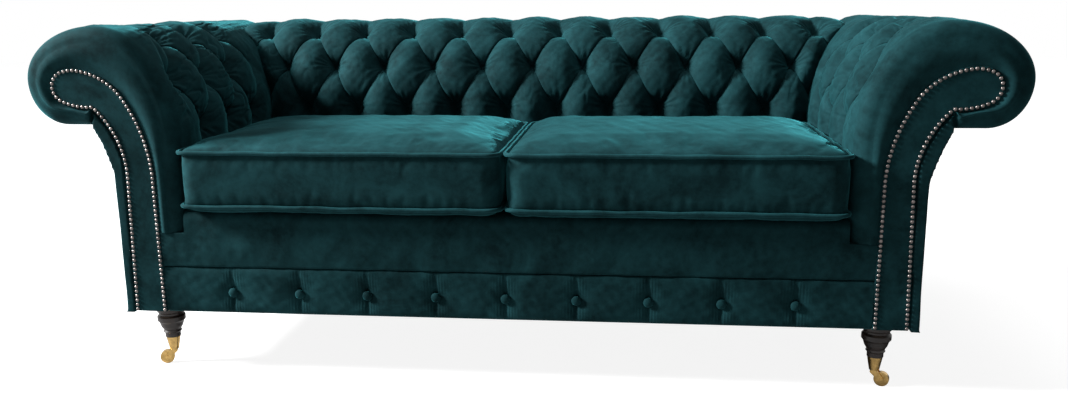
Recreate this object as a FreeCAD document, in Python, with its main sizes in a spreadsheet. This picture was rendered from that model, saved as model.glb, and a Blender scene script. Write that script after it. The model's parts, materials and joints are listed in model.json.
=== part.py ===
import FreeCAD, Part
import math
import os

import Sketcher
from FreeCAD import Placement, Rotation, Vector

# Three-seat chesterfield sofa. Millimetres, +Z up, front towards -Y, origin on the floor under the middle.
# "Run" is the distance outwards from the inner face of an arm, or rearwards from the inner face of the back.

SIZES = {
    # Overall
    "sofa_width": 2200,
    "sofa_depth": 930,
    "arm_width": 355,
    "nose_overhang": 30,
    "base_height": 150,
    "seat_gap": 0.3,
    # Padded scroll roll of the arms and the back
    "crest_height": 815,
    "crest_run": 185,
    "swell_drop": 255,
    "roll_drop": 125,
    "roll_low_drop": 224,
    "roll_flat_run": 267,
    "roll_end_run": 203,
    "pad_low_rise": 17,
    "pleat_drop": 355,
    "front_rounding": 40,
    "front_rounding_inset": 22,
    "corner_rounding": 80,
    # Scroll outline of the facings, boards, posts and uprights
    "facing_inner_run": 58,
    "facing_base_run": 137,
    "facing_waist_run": 129,
    "facing_low_height": 152,
    "waist_drop": 335,
    "shoulder_run": 121,
    "shoulder_drop": 148,
    "brow_run": 230,
    "brow_drop": 92,
    "nose_run": 265,
    "nose_top_drop": 99,
    "nose_low_drop": 173,
    "crook_run": 193,
    "crook_drop": 187,
    "shoulder_radius": 350,
    "brow_radius": 156,
    "cheek_radius": 90,
    "nose_radius": 41,
    "chin_radius": 150,
    "crook_radius": 205,
    "facing_thickness": 10,
    "board_thickness": 25,
    "arm_rear_run": 128,
    # Tufting
    "top_row_overlap": 50,
    "arm_tuft_overlap": 5,
    "back_end_drop": 40,
    "arm_tuft_front": 62.5,
    "tuft_low_angle": 4,
    "tuft_middle_angle": 33,
    "tuft_top_angle": 67,
    "tuft_depth": 34,
    "button_radius": 11,
    "button_height": 10,
    # Outside panels
    "panel_base_run": 160,
    "panel_waist_run": 155,
    "panel_waist_drop": 345,
    "panel_top_run": 198,
    "panel_top_drop": 225,
    "panel_inner_gap": 1.2,
    "panel_edge_run": 190.5,
    "panel_edge_drop": 194,
    "panel_radius": 450,
    # Seat frame
    "rail_thickness": 28,
    "rail_low_height": 160,
    "rail_top_height": 328,
    "front_rail_setback": 20,
    "side_rail_height": 140,
    "side_rail_run": 61,
    "centre_rail_width": 40,
    "centre_rail_low": 200,
    "centre_rail_drop": 8,
    "block_width": 43,
    "block_length": 64,
    "block_height": 55,
    "dust_cover_thickness": 1.5,
    # Upper frame
    "top_rail_run": 190,
    "top_rail_width": 60,
    "top_rail_drop": 165,
    "top_rail_height": 50,
    "upright_margin": 25,
    "webbing_width": 50,
    "webbing_thickness": 2,
    "arm_webbing_margin": 156.5,
    # Seat suspension and platform
    "spring_wire": 3.5,
    "spring_reach": 18,
    "spring_end": 11,
    "clip_width": 20,
    "clip_length": 14,
    "clip_wall": 2.2,
    "platform_rise": 9,
    "platform_thickness": 57.7,
    # Front border and lip
    "border_top_height": 264,
    "border_thickness": 12,
    "border_crown": 6,
    "lip_setback": 2,
    "lip_edge_radius": 20,
    "lip_depth": 75,
    "border_button_margin": 105,
    "border_button_height": 202,
    "border_button_radius": 8.5,
    "border_button_rise": 4,
    # Nailheads
    "nail_inset": 6,
    "nail_pitch": 10.8,
    "nail_radius": 4.4,
    "nail_rise": 2.6,
    # Seat cushions
    "cushion_gap": 0.6,
    "cushion_corner": 24,
    "piping_low_rise": 17,
    "piping_top_rise": 140,
    "cushion_crown": 32,
    "crown_flat": 125.8,
    "underside_reach": 28,
    "boxing_inset": 9.3,
    "boxing_draw": 5,
    "piping_radius": 4.5,
    "cover_thickness": 3,
    "core_gap": 0.4,
    # Legs
    "leg_run": 87,
    "leg_setback": 70,
    "leg_gap": 0.2,
    "cloth_margin": 2,
    "leg_collar_height": 134,
    "leg_collar_radius": 32,
    "leg_groove_height": 130,
    "leg_groove_radius": 28.5,
    "leg_bulb_height": 116,
    "leg_bulb_radius": 32.5,
    "leg_bulb_rise": 10,
    "leg_waist_height": 95,
    "leg_waist_radius": 25,
    "leg_ring_height": 82,
    "leg_ring_radius": 21.5,
    "leg_ankle_radius": 18,
    "leg_foot_height": 43,
    "rear_leg_setback": 58,
    "rear_leg_top": 50,
    "rear_leg_foot": 34,
    "rear_leg_rake": 22,
    # Castors
    "cup_top_height": 68,
    "cup_low_height": 36,
    "cup_top_radius": 17,
    "cup_low_radius": 11,
    "cup_wall": 1.6,
    "cup_floor": 4,
    "stem_radius": 4,
    "fit_gap": 0.05,
    "horn_thickness": 4.7,
    "horn_radius": 8,
    "stem_head_radius": 6.3,
    "stem_head_thickness": 1.6,
    "cheek_thickness": 3,
    "cheek_end_radius": 6,
    "wheel_radius": 16.5,
    "wheel_width": 12,
    "wheel_gap": 0.5,
    "axle_radius": 2.5,
    "axle_head_radius": 4,
    "axle_head_gap": 0.1,
    "axle_head_thickness": 1.4,
    "trail": 17,
    "trail_angle": 20,
}

document = FreeCAD.newDocument("ChesterfieldSofa")
sheet = document.addObject("Spreadsheet::Sheet", "Sizes")
for row, (alias, amount) in enumerate(SIZES.items(), start=1):
    sheet.set(f"A{row}", alias)
    sheet.set(f"B{row}", str(amount))
    sheet.setAlias(f"B{row}", alias)
document.recompute()

subparts = []

ARM_FACE = "(Sizes.sofa_width / 2 - Sizes.arm_width)"
BACK_FACE = "(Sizes.sofa_depth / 2 - Sizes.arm_width)"
FRONT = "(Sizes.nose_overhang - Sizes.sofa_depth / 2)"
ARM_REAR = f"({BACK_FACE} + Sizes.arm_rear_run)"
BOARD_BACK = f"({FRONT} + Sizes.facing_thickness + Sizes.seat_gap + Sizes.board_thickness)"
POST_FRONT = f"({ARM_REAR} - Sizes.board_thickness)"
RAIL_START = f"({BOARD_BACK} + Sizes.seat_gap)"
RAIL_STOP = f"({POST_FRONT} - Sizes.seat_gap)"
BACK_PITCH = f"((2 * {ARM_FACE} + Sizes.top_row_overlap) / 11)"
ARM_PITCH = f"(({BACK_FACE} - {FRONT} - Sizes.arm_tuft_front + Sizes.arm_tuft_overlap) / 3.25)"
PAD_LOW = "(Sizes.rail_top_height + Sizes.pad_low_rise)"
PLATFORM_LOW = "(Sizes.rail_top_height + Sizes.platform_rise)"
PLATFORM_TOP = f"({PLATFORM_LOW} + Sizes.platform_thickness)"
CUSHION_LOW = f"({PLATFORM_TOP} + Sizes.seat_gap)"
PIPING_LOW = f"({CUSHION_LOW} + Sizes.piping_low_rise)"
PIPING_TOP = f"({CUSHION_LOW} + Sizes.piping_top_rise)"
UPRIGHT_SPACING = f"(2 * ({ARM_FACE} - Sizes.upright_margin) / 3)"
BORDER_BUTTON_PITCH = f"(({ARM_FACE} - Sizes.border_button_margin) / 4)"
LEG_X = f"({ARM_FACE} + Sizes.leg_run)"
FRONT_LEG_Y = f"({FRONT} + Sizes.leg_setback)"
REAR_LEG_Y = f"({ARM_REAR} - Sizes.rear_leg_setback)"
SIDE_RAIL_OUTER = f"({ARM_FACE} + Sizes.side_rail_run + Sizes.rail_thickness)"
RAIL_END = f"({ARM_FACE} + Sizes.facing_inner_run - Sizes.seat_gap)"
RAIL_FRONT = f"({FRONT} + Sizes.front_rail_setback)"
BACK_RAIL_REAR = f"({BACK_FACE} + Sizes.facing_waist_run)"
BACK_RAIL_FRONT = f"({BACK_RAIL_REAR} - Sizes.board_thickness)"

# How the padding is worked out: distances from the frame, and the rows and fullness of the tufting
PAD_CLEARANCE = 1.2
TRIM_CLEARANCE = 0.4
CORE_SAGITTA = 0.8
PILLOW_FULLNESS = 0.7
PLEAT_RISE = 0.45
NAIL_SIDE_COUNT = 6
LOW_PIT_INDEX = 2
MIDDLE_INDEX = 4
TUFTED_ROW_COUNT = 9
PLEAT_FADE = {0: 0.12, 1: 0.3, 7: 0.38, 8: 0.16}


def size(name):
    return float(sheet.get(name))


def number(text):
    """The value of an expression on the sheet."""
    return float(sheet.evalExpression(text))


def below_crest(drop):
    """A height given as its drop from the crest, so that arms and back keep their form at another height."""
    return f"(Sizes.crest_height - Sizes.{drop})"


WAIST = below_crest("waist_drop")
TOP_RAIL_LOW = below_crest("top_rail_drop")
TOP_RAIL_HIGH = f"({TOP_RAIL_LOW} + Sizes.top_rail_height)"


def finished(item, label):
    item.Label = label
    subparts.append(item)
    return item


def across(side, inner, outer):
    """Low and high X of a piece that spans inner to outer on one side of the middle."""
    if side == "right":
        return inner, outer
    return f"-({outer})", f"-({inner})"


def block(name, low, high):
    """A rectangular piece between two corners, each given by three expressions."""
    piece = document.addObject("Part::Box", name)
    for length, axis, start, end in zip(("Length", "Width", "Height"), "xyz", low, high):
        piece.setExpression(length, f"({end}) - ({start})")
        piece.setExpression(f"Placement.Base.{axis}", start)
    return piece


def plank(label, low, high):
    return finished(block(label, low, high), label)


def form(label, shape):
    """A sub-part whose shape is worked out from the sheet by the functions below."""
    piece = document.addObject("Part::Feature", label)
    piece.Shape = shape
    piece.Placement = Placement()
    return finished(piece, label)


# Sketched outlines


def new_body(label):
    body = document.addObject("PartDesign::Body", label)
    return finished(body, label)


def plane_sketch(body, name, role):
    sketch = body.newObject("Sketcher::SketchObject", name)
    plane = next(item for item in body.Origin.OriginFeatures if item.Role == role)
    sketch.AttachmentSupport = [(plane, "")]
    sketch.MapMode = "FlatFace"
    return sketch


def arc_between(start, end, radius, turn):
    """Arc under half a circle; turn 1 has its centre on the left of start to end, -1 on the right."""
    chord = end - start
    half = chord.Length / 2
    reach = math.sqrt(max(radius * radius - half * half, 0.0))
    left = Vector(-chord.y, chord.x, 0).normalize()
    centre = (start + end) / 2 + left * (turn * reach)
    first, last = (start, end) if turn > 0 else (end, start)
    angles = [math.atan2(point.y - centre.y, point.x - centre.x) for point in (first, last)]
    if angles[1] < angles[0]:
        angles[1] += 2 * math.pi
    return Part.ArcOfCircle(Part.Circle(centre, Vector(0, 0, 1), radius), angles[0], angles[1])


def draw_outline(sketch, corners, mirror=False):
    """Closed outline. Each corner is (x, y) or (x, y, radius, turn), with the arc that leaves it."""
    if mirror:
        corners = [mirrored(corner) for corner in corners]
    points = [Vector(number(corner[0]), number(corner[1]), 0) for corner in corners]
    ends = []
    for index, corner in enumerate(corners):
        start = points[index]
        end = points[(index + 1) % len(points)]
        if len(corner) == 2:
            edge = sketch.addGeometry(Part.LineSegment(start, end), False)
            ends.append((edge, 1, 2))
        else:
            radius = number(corner[2])
            edge = sketch.addGeometry(arc_between(start, end, radius, corner[3]), False)
            ends.append((edge, 1, 2) if corner[3] > 0 else (edge, 2, 1))
            mark = sketch.addConstraint(Sketcher.Constraint("Radius", edge, radius))
            sketch.setExpression(f"Constraints[{mark}]", corner[2])
    for index, (edge, first, last) in enumerate(ends):
        other, other_first, other_last = ends[(index + 1) % len(ends)]
        sketch.addConstraint(Sketcher.Constraint("Coincident", edge, last, other, other_first))
    for index, (edge, first, last) in enumerate(ends):
        for kind, amount, text in zip(("DistanceX", "DistanceY"), points[index], corners[index]):
            mark = sketch.addConstraint(Sketcher.Constraint(kind, -1, 1, edge, first, amount))
            sketch.setExpression(f"Constraints[{mark}]", text)


def draw_circle(sketch, x, y, radius):
    circle = Part.Circle(Vector(number(x), number(y), 0), Vector(0, 0, 1), number(radius))
    edge = sketch.addGeometry(circle, False)
    for kind, text in (("DistanceX", x), ("DistanceY", y)):
        mark = sketch.addConstraint(Sketcher.Constraint(kind, -1, 1, edge, 3, number(text)))
        sketch.setExpression(f"Constraints[{mark}]", text)
    mark = sketch.addConstraint(Sketcher.Constraint("Radius", edge, number(radius)))
    sketch.setExpression(f"Constraints[{mark}]", radius)


def mirrored(corner):
    if len(corner) == 2:
        return f"-({corner[0]})", corner[1]
    return f"-({corner[0]})", corner[1], corner[2], -corner[3]


def pad(body, sketch, length, side="One side"):
    """Pads a sketch to its reversed side, or by half the length to each side."""
    feature = body.newObject("PartDesign::Pad", sketch.Name + "Pad")
    feature.Profile = sketch
    feature.SideType = side
    feature.setExpression("Length", length)
    feature.Reversed = side == "One side"
    return feature


def clear(body, sketch, length):
    """Cuts a sketched outline away by half the length to each side."""
    cut = body.newObject("PartDesign::Pocket", sketch.Name + "Cut")
    cut.Profile = sketch
    cut.SideType = "Symmetric"
    cut.setExpression("Length", length)
    return cut


def revolved(body, corners):
    """A turned piece about the body's own upright axis, from an outline of radius and height."""
    sketch = plane_sketch(body, body.Name + "Outline", "XZ_Plane")
    draw_outline(sketch, corners)
    feature = body.newObject("PartDesign::Revolution", body.Name + "Turning")
    feature.Profile = sketch
    feature.ReferenceAxis = (sketch, ["V_Axis"])
    feature.Angle = 360
    return feature


def board_along_y(label, corners, front, thickness, mirror):
    """A board cut to an outline in X and Z, from front rearwards by its thickness."""
    body = new_body(label)
    sketch = plane_sketch(body, label + "Outline", "XZ_Plane")
    draw_outline(sketch, corners, mirror)
    pad(body, sketch, thickness)
    body.setExpression("Placement.Base.y", front)
    return body


def board_along_x(label, corners, length):
    """A piece cut to an outline in Y and Z, by half its length to each side of the middle."""
    body = new_body(label)
    sketch = plane_sketch(body, label + "Outline", "YZ_Plane")
    draw_outline(sketch, corners)
    pad(body, sketch, length, "Symmetric")
    return body


def scroll_corners(face, low="Sizes.facing_low_height", base="Sizes.facing_base_run"):
    """The hockey-stick outline that the facings, boards, posts and uprights share."""
    return [
        (f"{face} + {base}", low),
        (f"{face} + Sizes.facing_inner_run", low),
        (f"{face} + Sizes.facing_inner_run", WAIST, "Sizes.shoulder_radius", -1),
        (f"{face} + Sizes.shoulder_run", below_crest("shoulder_drop"), "Sizes.brow_radius", -1),
        (f"{face} + Sizes.brow_run", below_crest("brow_drop"), "Sizes.cheek_radius", -1),
        (f"{face} + Sizes.nose_run", below_crest("nose_top_drop"), "Sizes.nose_radius", -1),
        (f"{face} + Sizes.nose_run", below_crest("nose_low_drop"), "Sizes.chin_radius", -1),
        (f"{face} + Sizes.crook_run", below_crest("crook_drop"), "Sizes.crook_radius", 1),
        (f"{face} + Sizes.facing_waist_run", WAIST),
    ]


def panel_corners(face):
    """Outside panel that rises from the base and flares under the roll."""
    gap = "Sizes.panel_inner_gap"
    return [
        (f"{face} + Sizes.panel_base_run", "Sizes.base_height"),
        (f"{face} + Sizes.panel_waist_run", below_crest("panel_waist_drop"), "Sizes.panel_radius", -1),
        (f"{face} + Sizes.panel_top_run", below_crest("panel_top_drop")),
        (f"{face} + Sizes.panel_edge_run", below_crest("panel_edge_drop"), f"Sizes.crook_radius - {gap}", 1),
        (f"{face} + Sizes.facing_waist_run + {gap}", WAIST),
        (f"{face} + Sizes.facing_base_run + {gap}", "Sizes.base_height"),
    ]


def outline_edges(corners):
    """The same outline as edges in a plane, for the pieces that follow it at a distance."""
    points = [Vector(number(corner[0]), number(corner[1]), 0) for corner in corners]
    edges = []
    for index, corner in enumerate(corners):
        start = points[index]
        end = points[(index + 1) % len(points)]
        if len(corner) == 2:
            edges.append(Part.LineSegment(start, end).toShape())
        else:
            edges.append(arc_between(start, end, number(corner[2]), corner[3]).toShape())
    return edges


def scroll_face(grow):
    """The scroll outline in run and height, grown or, with a negative amount, shrunk."""
    face = Part.Face(Part.Wire(Part.sortEdges(outline_edges(scroll_corners("0")))[0]))
    if grow:
        return face.makeOffset2D(grow)
    return face


# Padded rolls: rows of points along the section, repeated at stations along the roll


def ellipse_row(centre, reach, angle):
    """A point of a quarter of an ellipse and its outward normal, in run and height."""
    cosine = math.cos(math.radians(angle))
    sine = math.sin(math.radians(angle))
    normal = Vector(cosine * reach[1], sine * reach[0], 0).normalize()
    return Vector(centre[0] + reach[0] * cosine, centre[1] + reach[1] * sine, 0), normal


def inner_rows():
    """Rows from the foot of the pad up its inner face to the crest."""
    reach = (size("crest_run"), size("crest_height") - number(below_crest("swell_drop")))
    centre = (size("crest_run"), number(below_crest("swell_drop")))
    low, middle, top = size("tuft_low_angle"), size("tuft_middle_angle"), size("tuft_top_angle")
    angles = [low, (low + middle) / 2, middle, (middle + top) / 2, top, (top + 90) / 2, 90]
    inward = Vector(-1, 0, 0)
    rows = [(Vector(0, number(height), 0), inward) for height in (PAD_LOW, below_crest("pleat_drop"))]
    return rows + [ellipse_row(centre, reach, 180 - angle) for angle in angles]


def outer_rows():
    """Rows from just past the crest round the roll to its lower edge."""
    upper = (size("arm_width") - size("crest_run"), size("crest_height") - number(below_crest("roll_drop")))
    lower = (size("arm_width") - size("roll_flat_run"), number(below_crest("roll_drop")) - number(below_crest("roll_low_drop")))
    rows = [ellipse_row((size("crest_run"), number(below_crest("roll_drop"))), upper, angle) for angle in (66, 43, 21, 0)]
    centre = (size("roll_flat_run"), number(below_crest("roll_drop")))
    return rows + [ellipse_row(centre, lower, angle) for angle in (-30, -60, -90)]


def core_rows(clearance=PAD_CLEARANCE):
    """Points just outside the scroll outline, from the crook over the head and down the inner edge."""
    corners = scroll_corners("0")
    rows = []
    for index in range(2, 7):
        start, end = (Vector(number(corner[0]), number(corner[1]), 0) for corner in corners[index:index + 2])
        radius = number(corners[index][2])
        arc = arc_between(start, end, radius, -1)
        step = 2 * math.acos(1 - CORE_SAGITTA / radius)
        count = math.ceil((arc.LastParameter - arc.FirstParameter) / step)
        points = arc.discretize(count + 1)[::-1]
        rows += [point + (point - arc.Center).normalize() * clearance for point in points[:-1]]
    rows.append(end + (end - arc.Center).normalize() * clearance)
    column = size("facing_inner_run") - clearance
    rows = [Vector(column, number(PAD_LOW), 0)] + rows
    return rows[::-1]


def pillow(across_steps, up_steps):
    """Height of the tufting, from 0 in a button pit to 1 on a crown, in half pitches and half rows."""
    first = abs(math.sin(math.pi * (across_steps + up_steps) / 4)) ** PILLOW_FULLNESS
    second = abs(math.sin(math.pi * (across_steps - up_steps) / 4)) ** PILLOW_FULLNESS
    return first * second + PLEAT_RISE * (first + second - 2 * first * second)


def tuft_drop(step, row):
    """How far the cover is drawn in at a quarter-pitch step and a row of the section."""
    level = row - MIDDLE_INDEX
    fade = PLEAT_FADE.get(row, 1 if abs(level) <= 2 else 0)
    level = max(-2, min(2, level))
    return (1 - pillow(step, level)) * size("tuft_depth") * fade


class Roll:
    """Grid of points of a padded roll. Stations are (distance, inset, step or None) along its length."""

    def __init__(self, place, stations, rows, core, drops, tufted_rows):
        self.stations = stations
        self.normals = [normal for point, normal in rows]
        self.tufted_rows = tufted_rows
        self.outer_count = len(rows)
        self.place = place
        self.points = []
        for index, (distance, inset, step) in enumerate(stations):
            ring = []
            for row, (point, normal) in enumerate(rows):
                moved = point - normal * (inset + drops[index][row])
                ring.append(place(distance, moved))
            ring += [place(distance, point) for point in core]
            self.points.append(ring)

    def key_stations(self):
        """Stations where the smooth rows need a point: the ends and wherever the inset changes."""
        insets = [inset for distance, inset, step in self.stations]
        last = len(insets) - 1
        keys = [0]
        for index in range(1, last):
            if insets[index] != insets[index - 1] or insets[index] != insets[index + 1]:
                keys.append(index)
        return keys + [last]

    def tufted_quad(self, index, row):
        a, b = self.points[index][row], self.points[index + 1][row]
        c, d = self.points[index + 1][row + 1], self.points[index][row + 1]
        step = self.stations[index][2]
        block_count = 0 if step is None else (step // 2 + (row - MIDDLE_INDEX) // 2)
        if block_count % 2 == 0:
            return [[a, b, c], [a, c, d]]
        return [[a, b, d], [b, c, d]]

    def strip(self, first, last, row, next_row, full_side):
        """Flat strip between two key stations, with every point of the tufted row on its full side."""
        low = [self.points[index][row] for index in range(first, last + 1)]
        high = [self.points[index][next_row] for index in range(first, last + 1)]
        if full_side != "low":
            low = [low[0], low[-1]]
        if full_side != "high":
            high = [high[0], high[-1]]
        if self.stations[first][1] != self.stations[last][1]:
            return [[low[0], low[-1], high[-1]], [low[0], high[-1], high[0]]]
        return [low + high[::-1]]

    def solid(self):
        polygons = []
        count = len(self.points[0])
        keys = self.key_stations()
        for row in range(count):
            next_row = (row + 1) % count
            if row < self.tufted_rows:
                for index in range(len(self.stations) - 1):
                    polygons += self.tufted_quad(index, row)
                continue
            side = "low" if row == self.tufted_rows else "high" if next_row == 0 else "none"
            for first, last in zip(keys, keys[1:]):
                polygons += self.strip(first, last, row, next_row, side)
        polygons.append(self.points[0])
        polygons.append(self.points[-1])
        return solid_of(polygons)


def banded(rings):
    """Four-sided faces between each closed ring of points and the next."""
    polygons = []
    for low, high in zip(rings, rings[1:]):
        low_next = low[1:] + low[:1]
        high_next = high[1:] + high[:1]
        polygons += [list(corners) for corners in zip(low, low_next, high_next, high)]
    return polygons


def solid_of(polygons):
    faces = []
    for polygon in polygons:
        faces.append(Part.Face(Part.makePolygon(polygon + [polygon[0]])))
    shell = Part.makeShell(faces)
    shell.sewShape()
    solid = Part.makeSolid(shell)
    if solid.Volume < 0:
        solid.reverse()
    return solid


def group(shapes):
    """Identical small pieces that share one node, each still a solid of its own."""
    return Part.makeCompound(shapes)


# Steps along and up from a pit to the ends of the eight folds that meet in it
BUTTON_RING = [(1, 0), (1, 1), (0, 1), (-1, 1), (-1, 0), (-1, -1), (0, -1), (1, -1)]


def button(roll, index, row):
    """A covered button seated in its pit: its underside follows the eight folds that meet there."""
    centre = roll.points[index][row]
    point = Vector(0, 0, 0)
    normal = (roll.place(0, roll.normals[row]) - roll.place(0, point)).normalize()
    lift = normal * size("seat_gap")
    rim = []
    for along, up in BUTTON_RING:
        fold = (roll.points[index + along][row + up] - centre).normalize()
        rim.append(centre + fold * size("button_radius") + lift)
    base = centre + lift
    top = centre + normal * size("button_height")
    polygons = []
    for start, end in zip(rim, rim[1:] + rim[:1]):
        polygons.append([base, end, start])
        polygons.append([top, start, end])
    return solid_of(polygons)


# Arms

ARM_FRONT_ROUNDING = [(0, 1), (0.175, 0.45), (0.5, 0.14), (1, 0)]
ARM_STEPS = range(-5, 9)
ARM_TUFT_SHARE = {-5: 0, -4: 0.25, -3: 0.7, 7: 0.5, 8: 0}
ARM_PITS = [(step, MIDDLE_INDEX) for step in range(-4, 5, 4)]
ARM_PITS += [(step, row) for row in (2, 6) for step in range(-2, 7, 4)]
CORNER_ROUNDING = [(1, 0), (0.5, 0.134), (0.2, 0.4), (0, 1)]


def arm_place(side):
    direction = 1 if side == "right" else -1
    face = number(ARM_FACE)
    front = number(FRONT)
    return lambda distance, point: Vector(direction * (face + point.x), front + distance, point.y)


def arm_roll(side):
    """The tufted arm pad, smooth towards the facing and behind the face of the back."""
    rows = inner_rows() + outer_rows()
    rows.append((Vector(size("roll_end_run"), number(below_crest("roll_low_drop")), 0), Vector(0, -1, 0)))
    reach = size("front_rounding")
    inset = size("front_rounding_inset")
    stations = [(reach * along, inset * share, None) for along, share in ARM_FRONT_ROUNDING]
    for step in ARM_STEPS:
        distance = size("arm_tuft_front") + (step - ARM_STEPS.start) * number(ARM_PITCH) / 4
        stations.append((distance, 0, step))
    stations.append((number(f"{ARM_REAR} - {FRONT}"), 0, None))
    drops = []
    for distance, inset, step in stations:
        share = 0 if step is None else ARM_TUFT_SHARE.get(step, 1)
        drop = [share * (tuft_drop(step, row) if share else 0) for row in range(len(rows))]
        if step == ARM_PITS[0][0]:
            drop[MIDDLE_INDEX] = size("tuft_depth")
        drops.append(drop)
    return Roll(arm_place(side), stations, rows, core_rows(), drops, TUFTED_ROW_COUNT)


def corner_roll(side):
    """The padded end of the roll at the rear corner, rounded towards the back."""
    rows = inner_rows()[LOW_PIT_INDEX:]
    low, high = rows[0][0], rows[1][0]
    share = (number(below_crest("roll_low_drop")) - low.y) / (high.y - low.y)
    rows[0] = (low + (high - low) * share, Vector(-1, 0, 0))
    rows += outer_rows()
    start = number(f"{ARM_REAR} - {FRONT} + Sizes.seat_gap")
    end = number(f"Sizes.sofa_depth / 2 - {FRONT}")
    rounding = size("corner_rounding")
    stations = [(start, 0, None)]
    stations += [(end - rounding * back, rounding * inset, None) for back, inset in CORNER_ROUNDING]
    drops = [[0] * len(rows) for station in stations]
    return Roll(arm_place(side), stations, rows, [], drops, 0)


def arm_button_group(roll):
    first = len(ARM_FRONT_ROUNDING) - ARM_STEPS.start
    return group([button(roll, first + step, row) for step, row in ARM_PITS])


def ribbon(points, width):
    """Outline of a band of one width along a path, mitred where the path turns."""
    left = []
    right = []
    for index, point in enumerate(points):
        before = point - points[index - 1] if index else points[1] - point
        after = points[index + 1] - point if index + 1 < len(points) else before
        sides = [Vector(-run.y, run.x, 0).normalize() for run in (before, after)]
        shift = (sides[0] + sides[1]) / (1 + sides[0].dot(sides[1]))
        left.append(point + shift * (width / 2))
        right.append(point - shift * (width / 2))
    return left + right[::-1]


def straps(start_height, turn, centres):
    """Straps of one width behind the pad, up the column and over the shoulder to the top rail."""
    thickness = size("webbing_thickness")
    half = size("webbing_width") / 2
    path = [Vector(size("facing_inner_run"), start_height, 0)]
    for point in core_rows(PAD_CLEARANCE - size("seat_gap") - thickness / 2)[-2::-1]:
        if point.x > size("top_rail_run"):
            break
        path.append(point)
    path[0].x = path[1].x
    outline = [Vector(point.x, half, point.y) for point in ribbon(path, thickness)]
    strap = Part.Face(Part.makePolygon(outline + [outline[0]])).extrude(Vector(0, -2 * half, 0))
    strap.rotate(Vector(0, 0, 0), Vector(0, 0, 1), turn)
    return group([strap.translated(centre) for centre in centres])


def nail_places():
    """Nail centres round the facing, from the foot of one edge over the head to the other foot."""
    outline = scroll_face(-size("nail_inset")).OuterWire
    low = outline.BoundBox.YMin
    edges = [edge for edge in outline.Edges if edge.BoundBox.YMax > low + 1]
    line = Part.Wire(Part.sortEdges(edges)[0])
    return line.discretize(round(line.Length / size("nail_pitch")) + 1)


def stud(centre, radius, rise, flat_share, sides):
    """A low head with a flat back that faces +Y, pointed or with a smaller flat front."""
    rings = []
    for reach, forward in ((radius, 0), (radius * flat_share, rise)):
        ring = []
        for corner in range(sides):
            angle = 2 * math.pi * corner / sides
            ring.append(centre + Vector(reach * math.cos(angle), -forward, reach * math.sin(angle)))
        rings.append(ring)
    back, front = rings
    polygons = [back]
    if flat_share:
        polygons.append(front)
        polygons += banded(rings)
    else:
        polygons += [[front[0], start, end] for start, end in zip(back, back[1:] + back[:1])]
    return solid_of(polygons)


def facing_nails(side):
    direction = 1 if side == "right" else -1
    face = number(ARM_FACE)
    front = number(FRONT)
    heads = []
    for point in nail_places():
        centre = Vector(direction * (face + point.x), front, point.y)
        heads.append(stud(centre, size("nail_radius"), size("nail_rise"), 0, NAIL_SIDE_COUNT))
    return group(heads)


def make_arm(side):
    mirror = side == "left"
    scroll = scroll_corners(ARM_FACE)
    board_along_y(f"facing_panel_{side}", scroll, FRONT, "Sizes.facing_thickness", mirror)
    board_front = f"{FRONT} + Sizes.facing_thickness + Sizes.seat_gap"
    board_along_y(f"arm_scroll_board_{side}", scroll, board_front, "Sizes.board_thickness", mirror)
    board_along_y(f"arm_rear_post_{side}", scroll, POST_FRONT, "Sizes.board_thickness", mirror)
    panel_length = f"{ARM_REAR} - {FRONT}"
    board_along_y(f"outside_arm_panel_{side}", panel_corners(ARM_FACE), FRONT, panel_length, mirror)
    rail_run = f"{ARM_FACE} + Sizes.top_rail_run"
    rail_low, rail_high = across(side, rail_run, f"{rail_run} + Sizes.top_rail_width")
    low = (rail_low, RAIL_START, TOP_RAIL_LOW)
    high = (rail_high, RAIL_STOP, TOP_RAIL_HIGH)
    plank(f"arm_top_rail_{side}", low, high)
    seat_low, seat_high = across(side, f"{ARM_FACE} + Sizes.side_rail_run", SIDE_RAIL_OUTER)
    low = (seat_low, RAIL_START, "Sizes.rail_low_height")
    high = (seat_high, RAIL_STOP, "Sizes.rail_low_height + Sizes.side_rail_height")
    plank(f"side_seat_rail_{side}", low, high)
    roll = arm_roll(side)
    form(f"arm_pad_{side}", roll.solid())
    form(f"arm_buttons_{side}", arm_button_group(roll))
    form(f"corner_roll_{side}", corner_roll(side).solid())
    form(f"facing_nails_{side}", facing_nails(side))
    direction = -1 if mirror else 1
    middle = (number(FRONT) + number(ARM_REAR)) / 2
    spacing = (number(ARM_REAR) - number(FRONT)) / 2 - size("arm_webbing_margin")
    places = [Vector(direction * number(ARM_FACE), middle + spacing * strap, 0) for strap in (-1, 0, 1)]
    form(f"arm_webbing_{side}", straps(size("centre_rail_low"), 180 if mirror else 0, places))


make_arm("left")
make_arm("right")


# Back

BACK_END_SHARES = {22: 0, 23: 0.08, 24: 0.3, 25: 0.65, 26: 1}
BACK_PITS = [(step, 2) for step in range(-18, 19, 4)]
BACK_PITS += [(step, 4) for step in range(-20, 21, 4)]
BACK_PITS += [(step, 6) for step in range(-22, 23, 4)]
UPRIGHT_PLACES = (-1.5, -0.5, 0.5, 1.5)
STRAP_PLACES = (-5, -4, -3, -1, 0, 1, 3, 4, 5)


def back_roll():
    rows = inner_rows() + outer_rows()
    rows.append((Vector(size("roll_end_run"), number(below_crest("roll_low_drop")), 0), Vector(0, -1, 0)))
    last = max(BACK_END_SHARES)
    stations = []
    drops = []
    for step in range(-last, last + 1):
        inset = size("back_end_drop") * BACK_END_SHARES.get(abs(step), 0)
        stations.append((step * number(BACK_PITCH) / 4, inset, step))
        drops.append([tuft_drop(step, row) for row in range(len(rows))])
    face = number(BACK_FACE)
    return Roll(lambda distance, point: Vector(distance, face + point.x, point.y), stations, rows, core_rows(), drops, TUFTED_ROW_COUNT)


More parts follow.
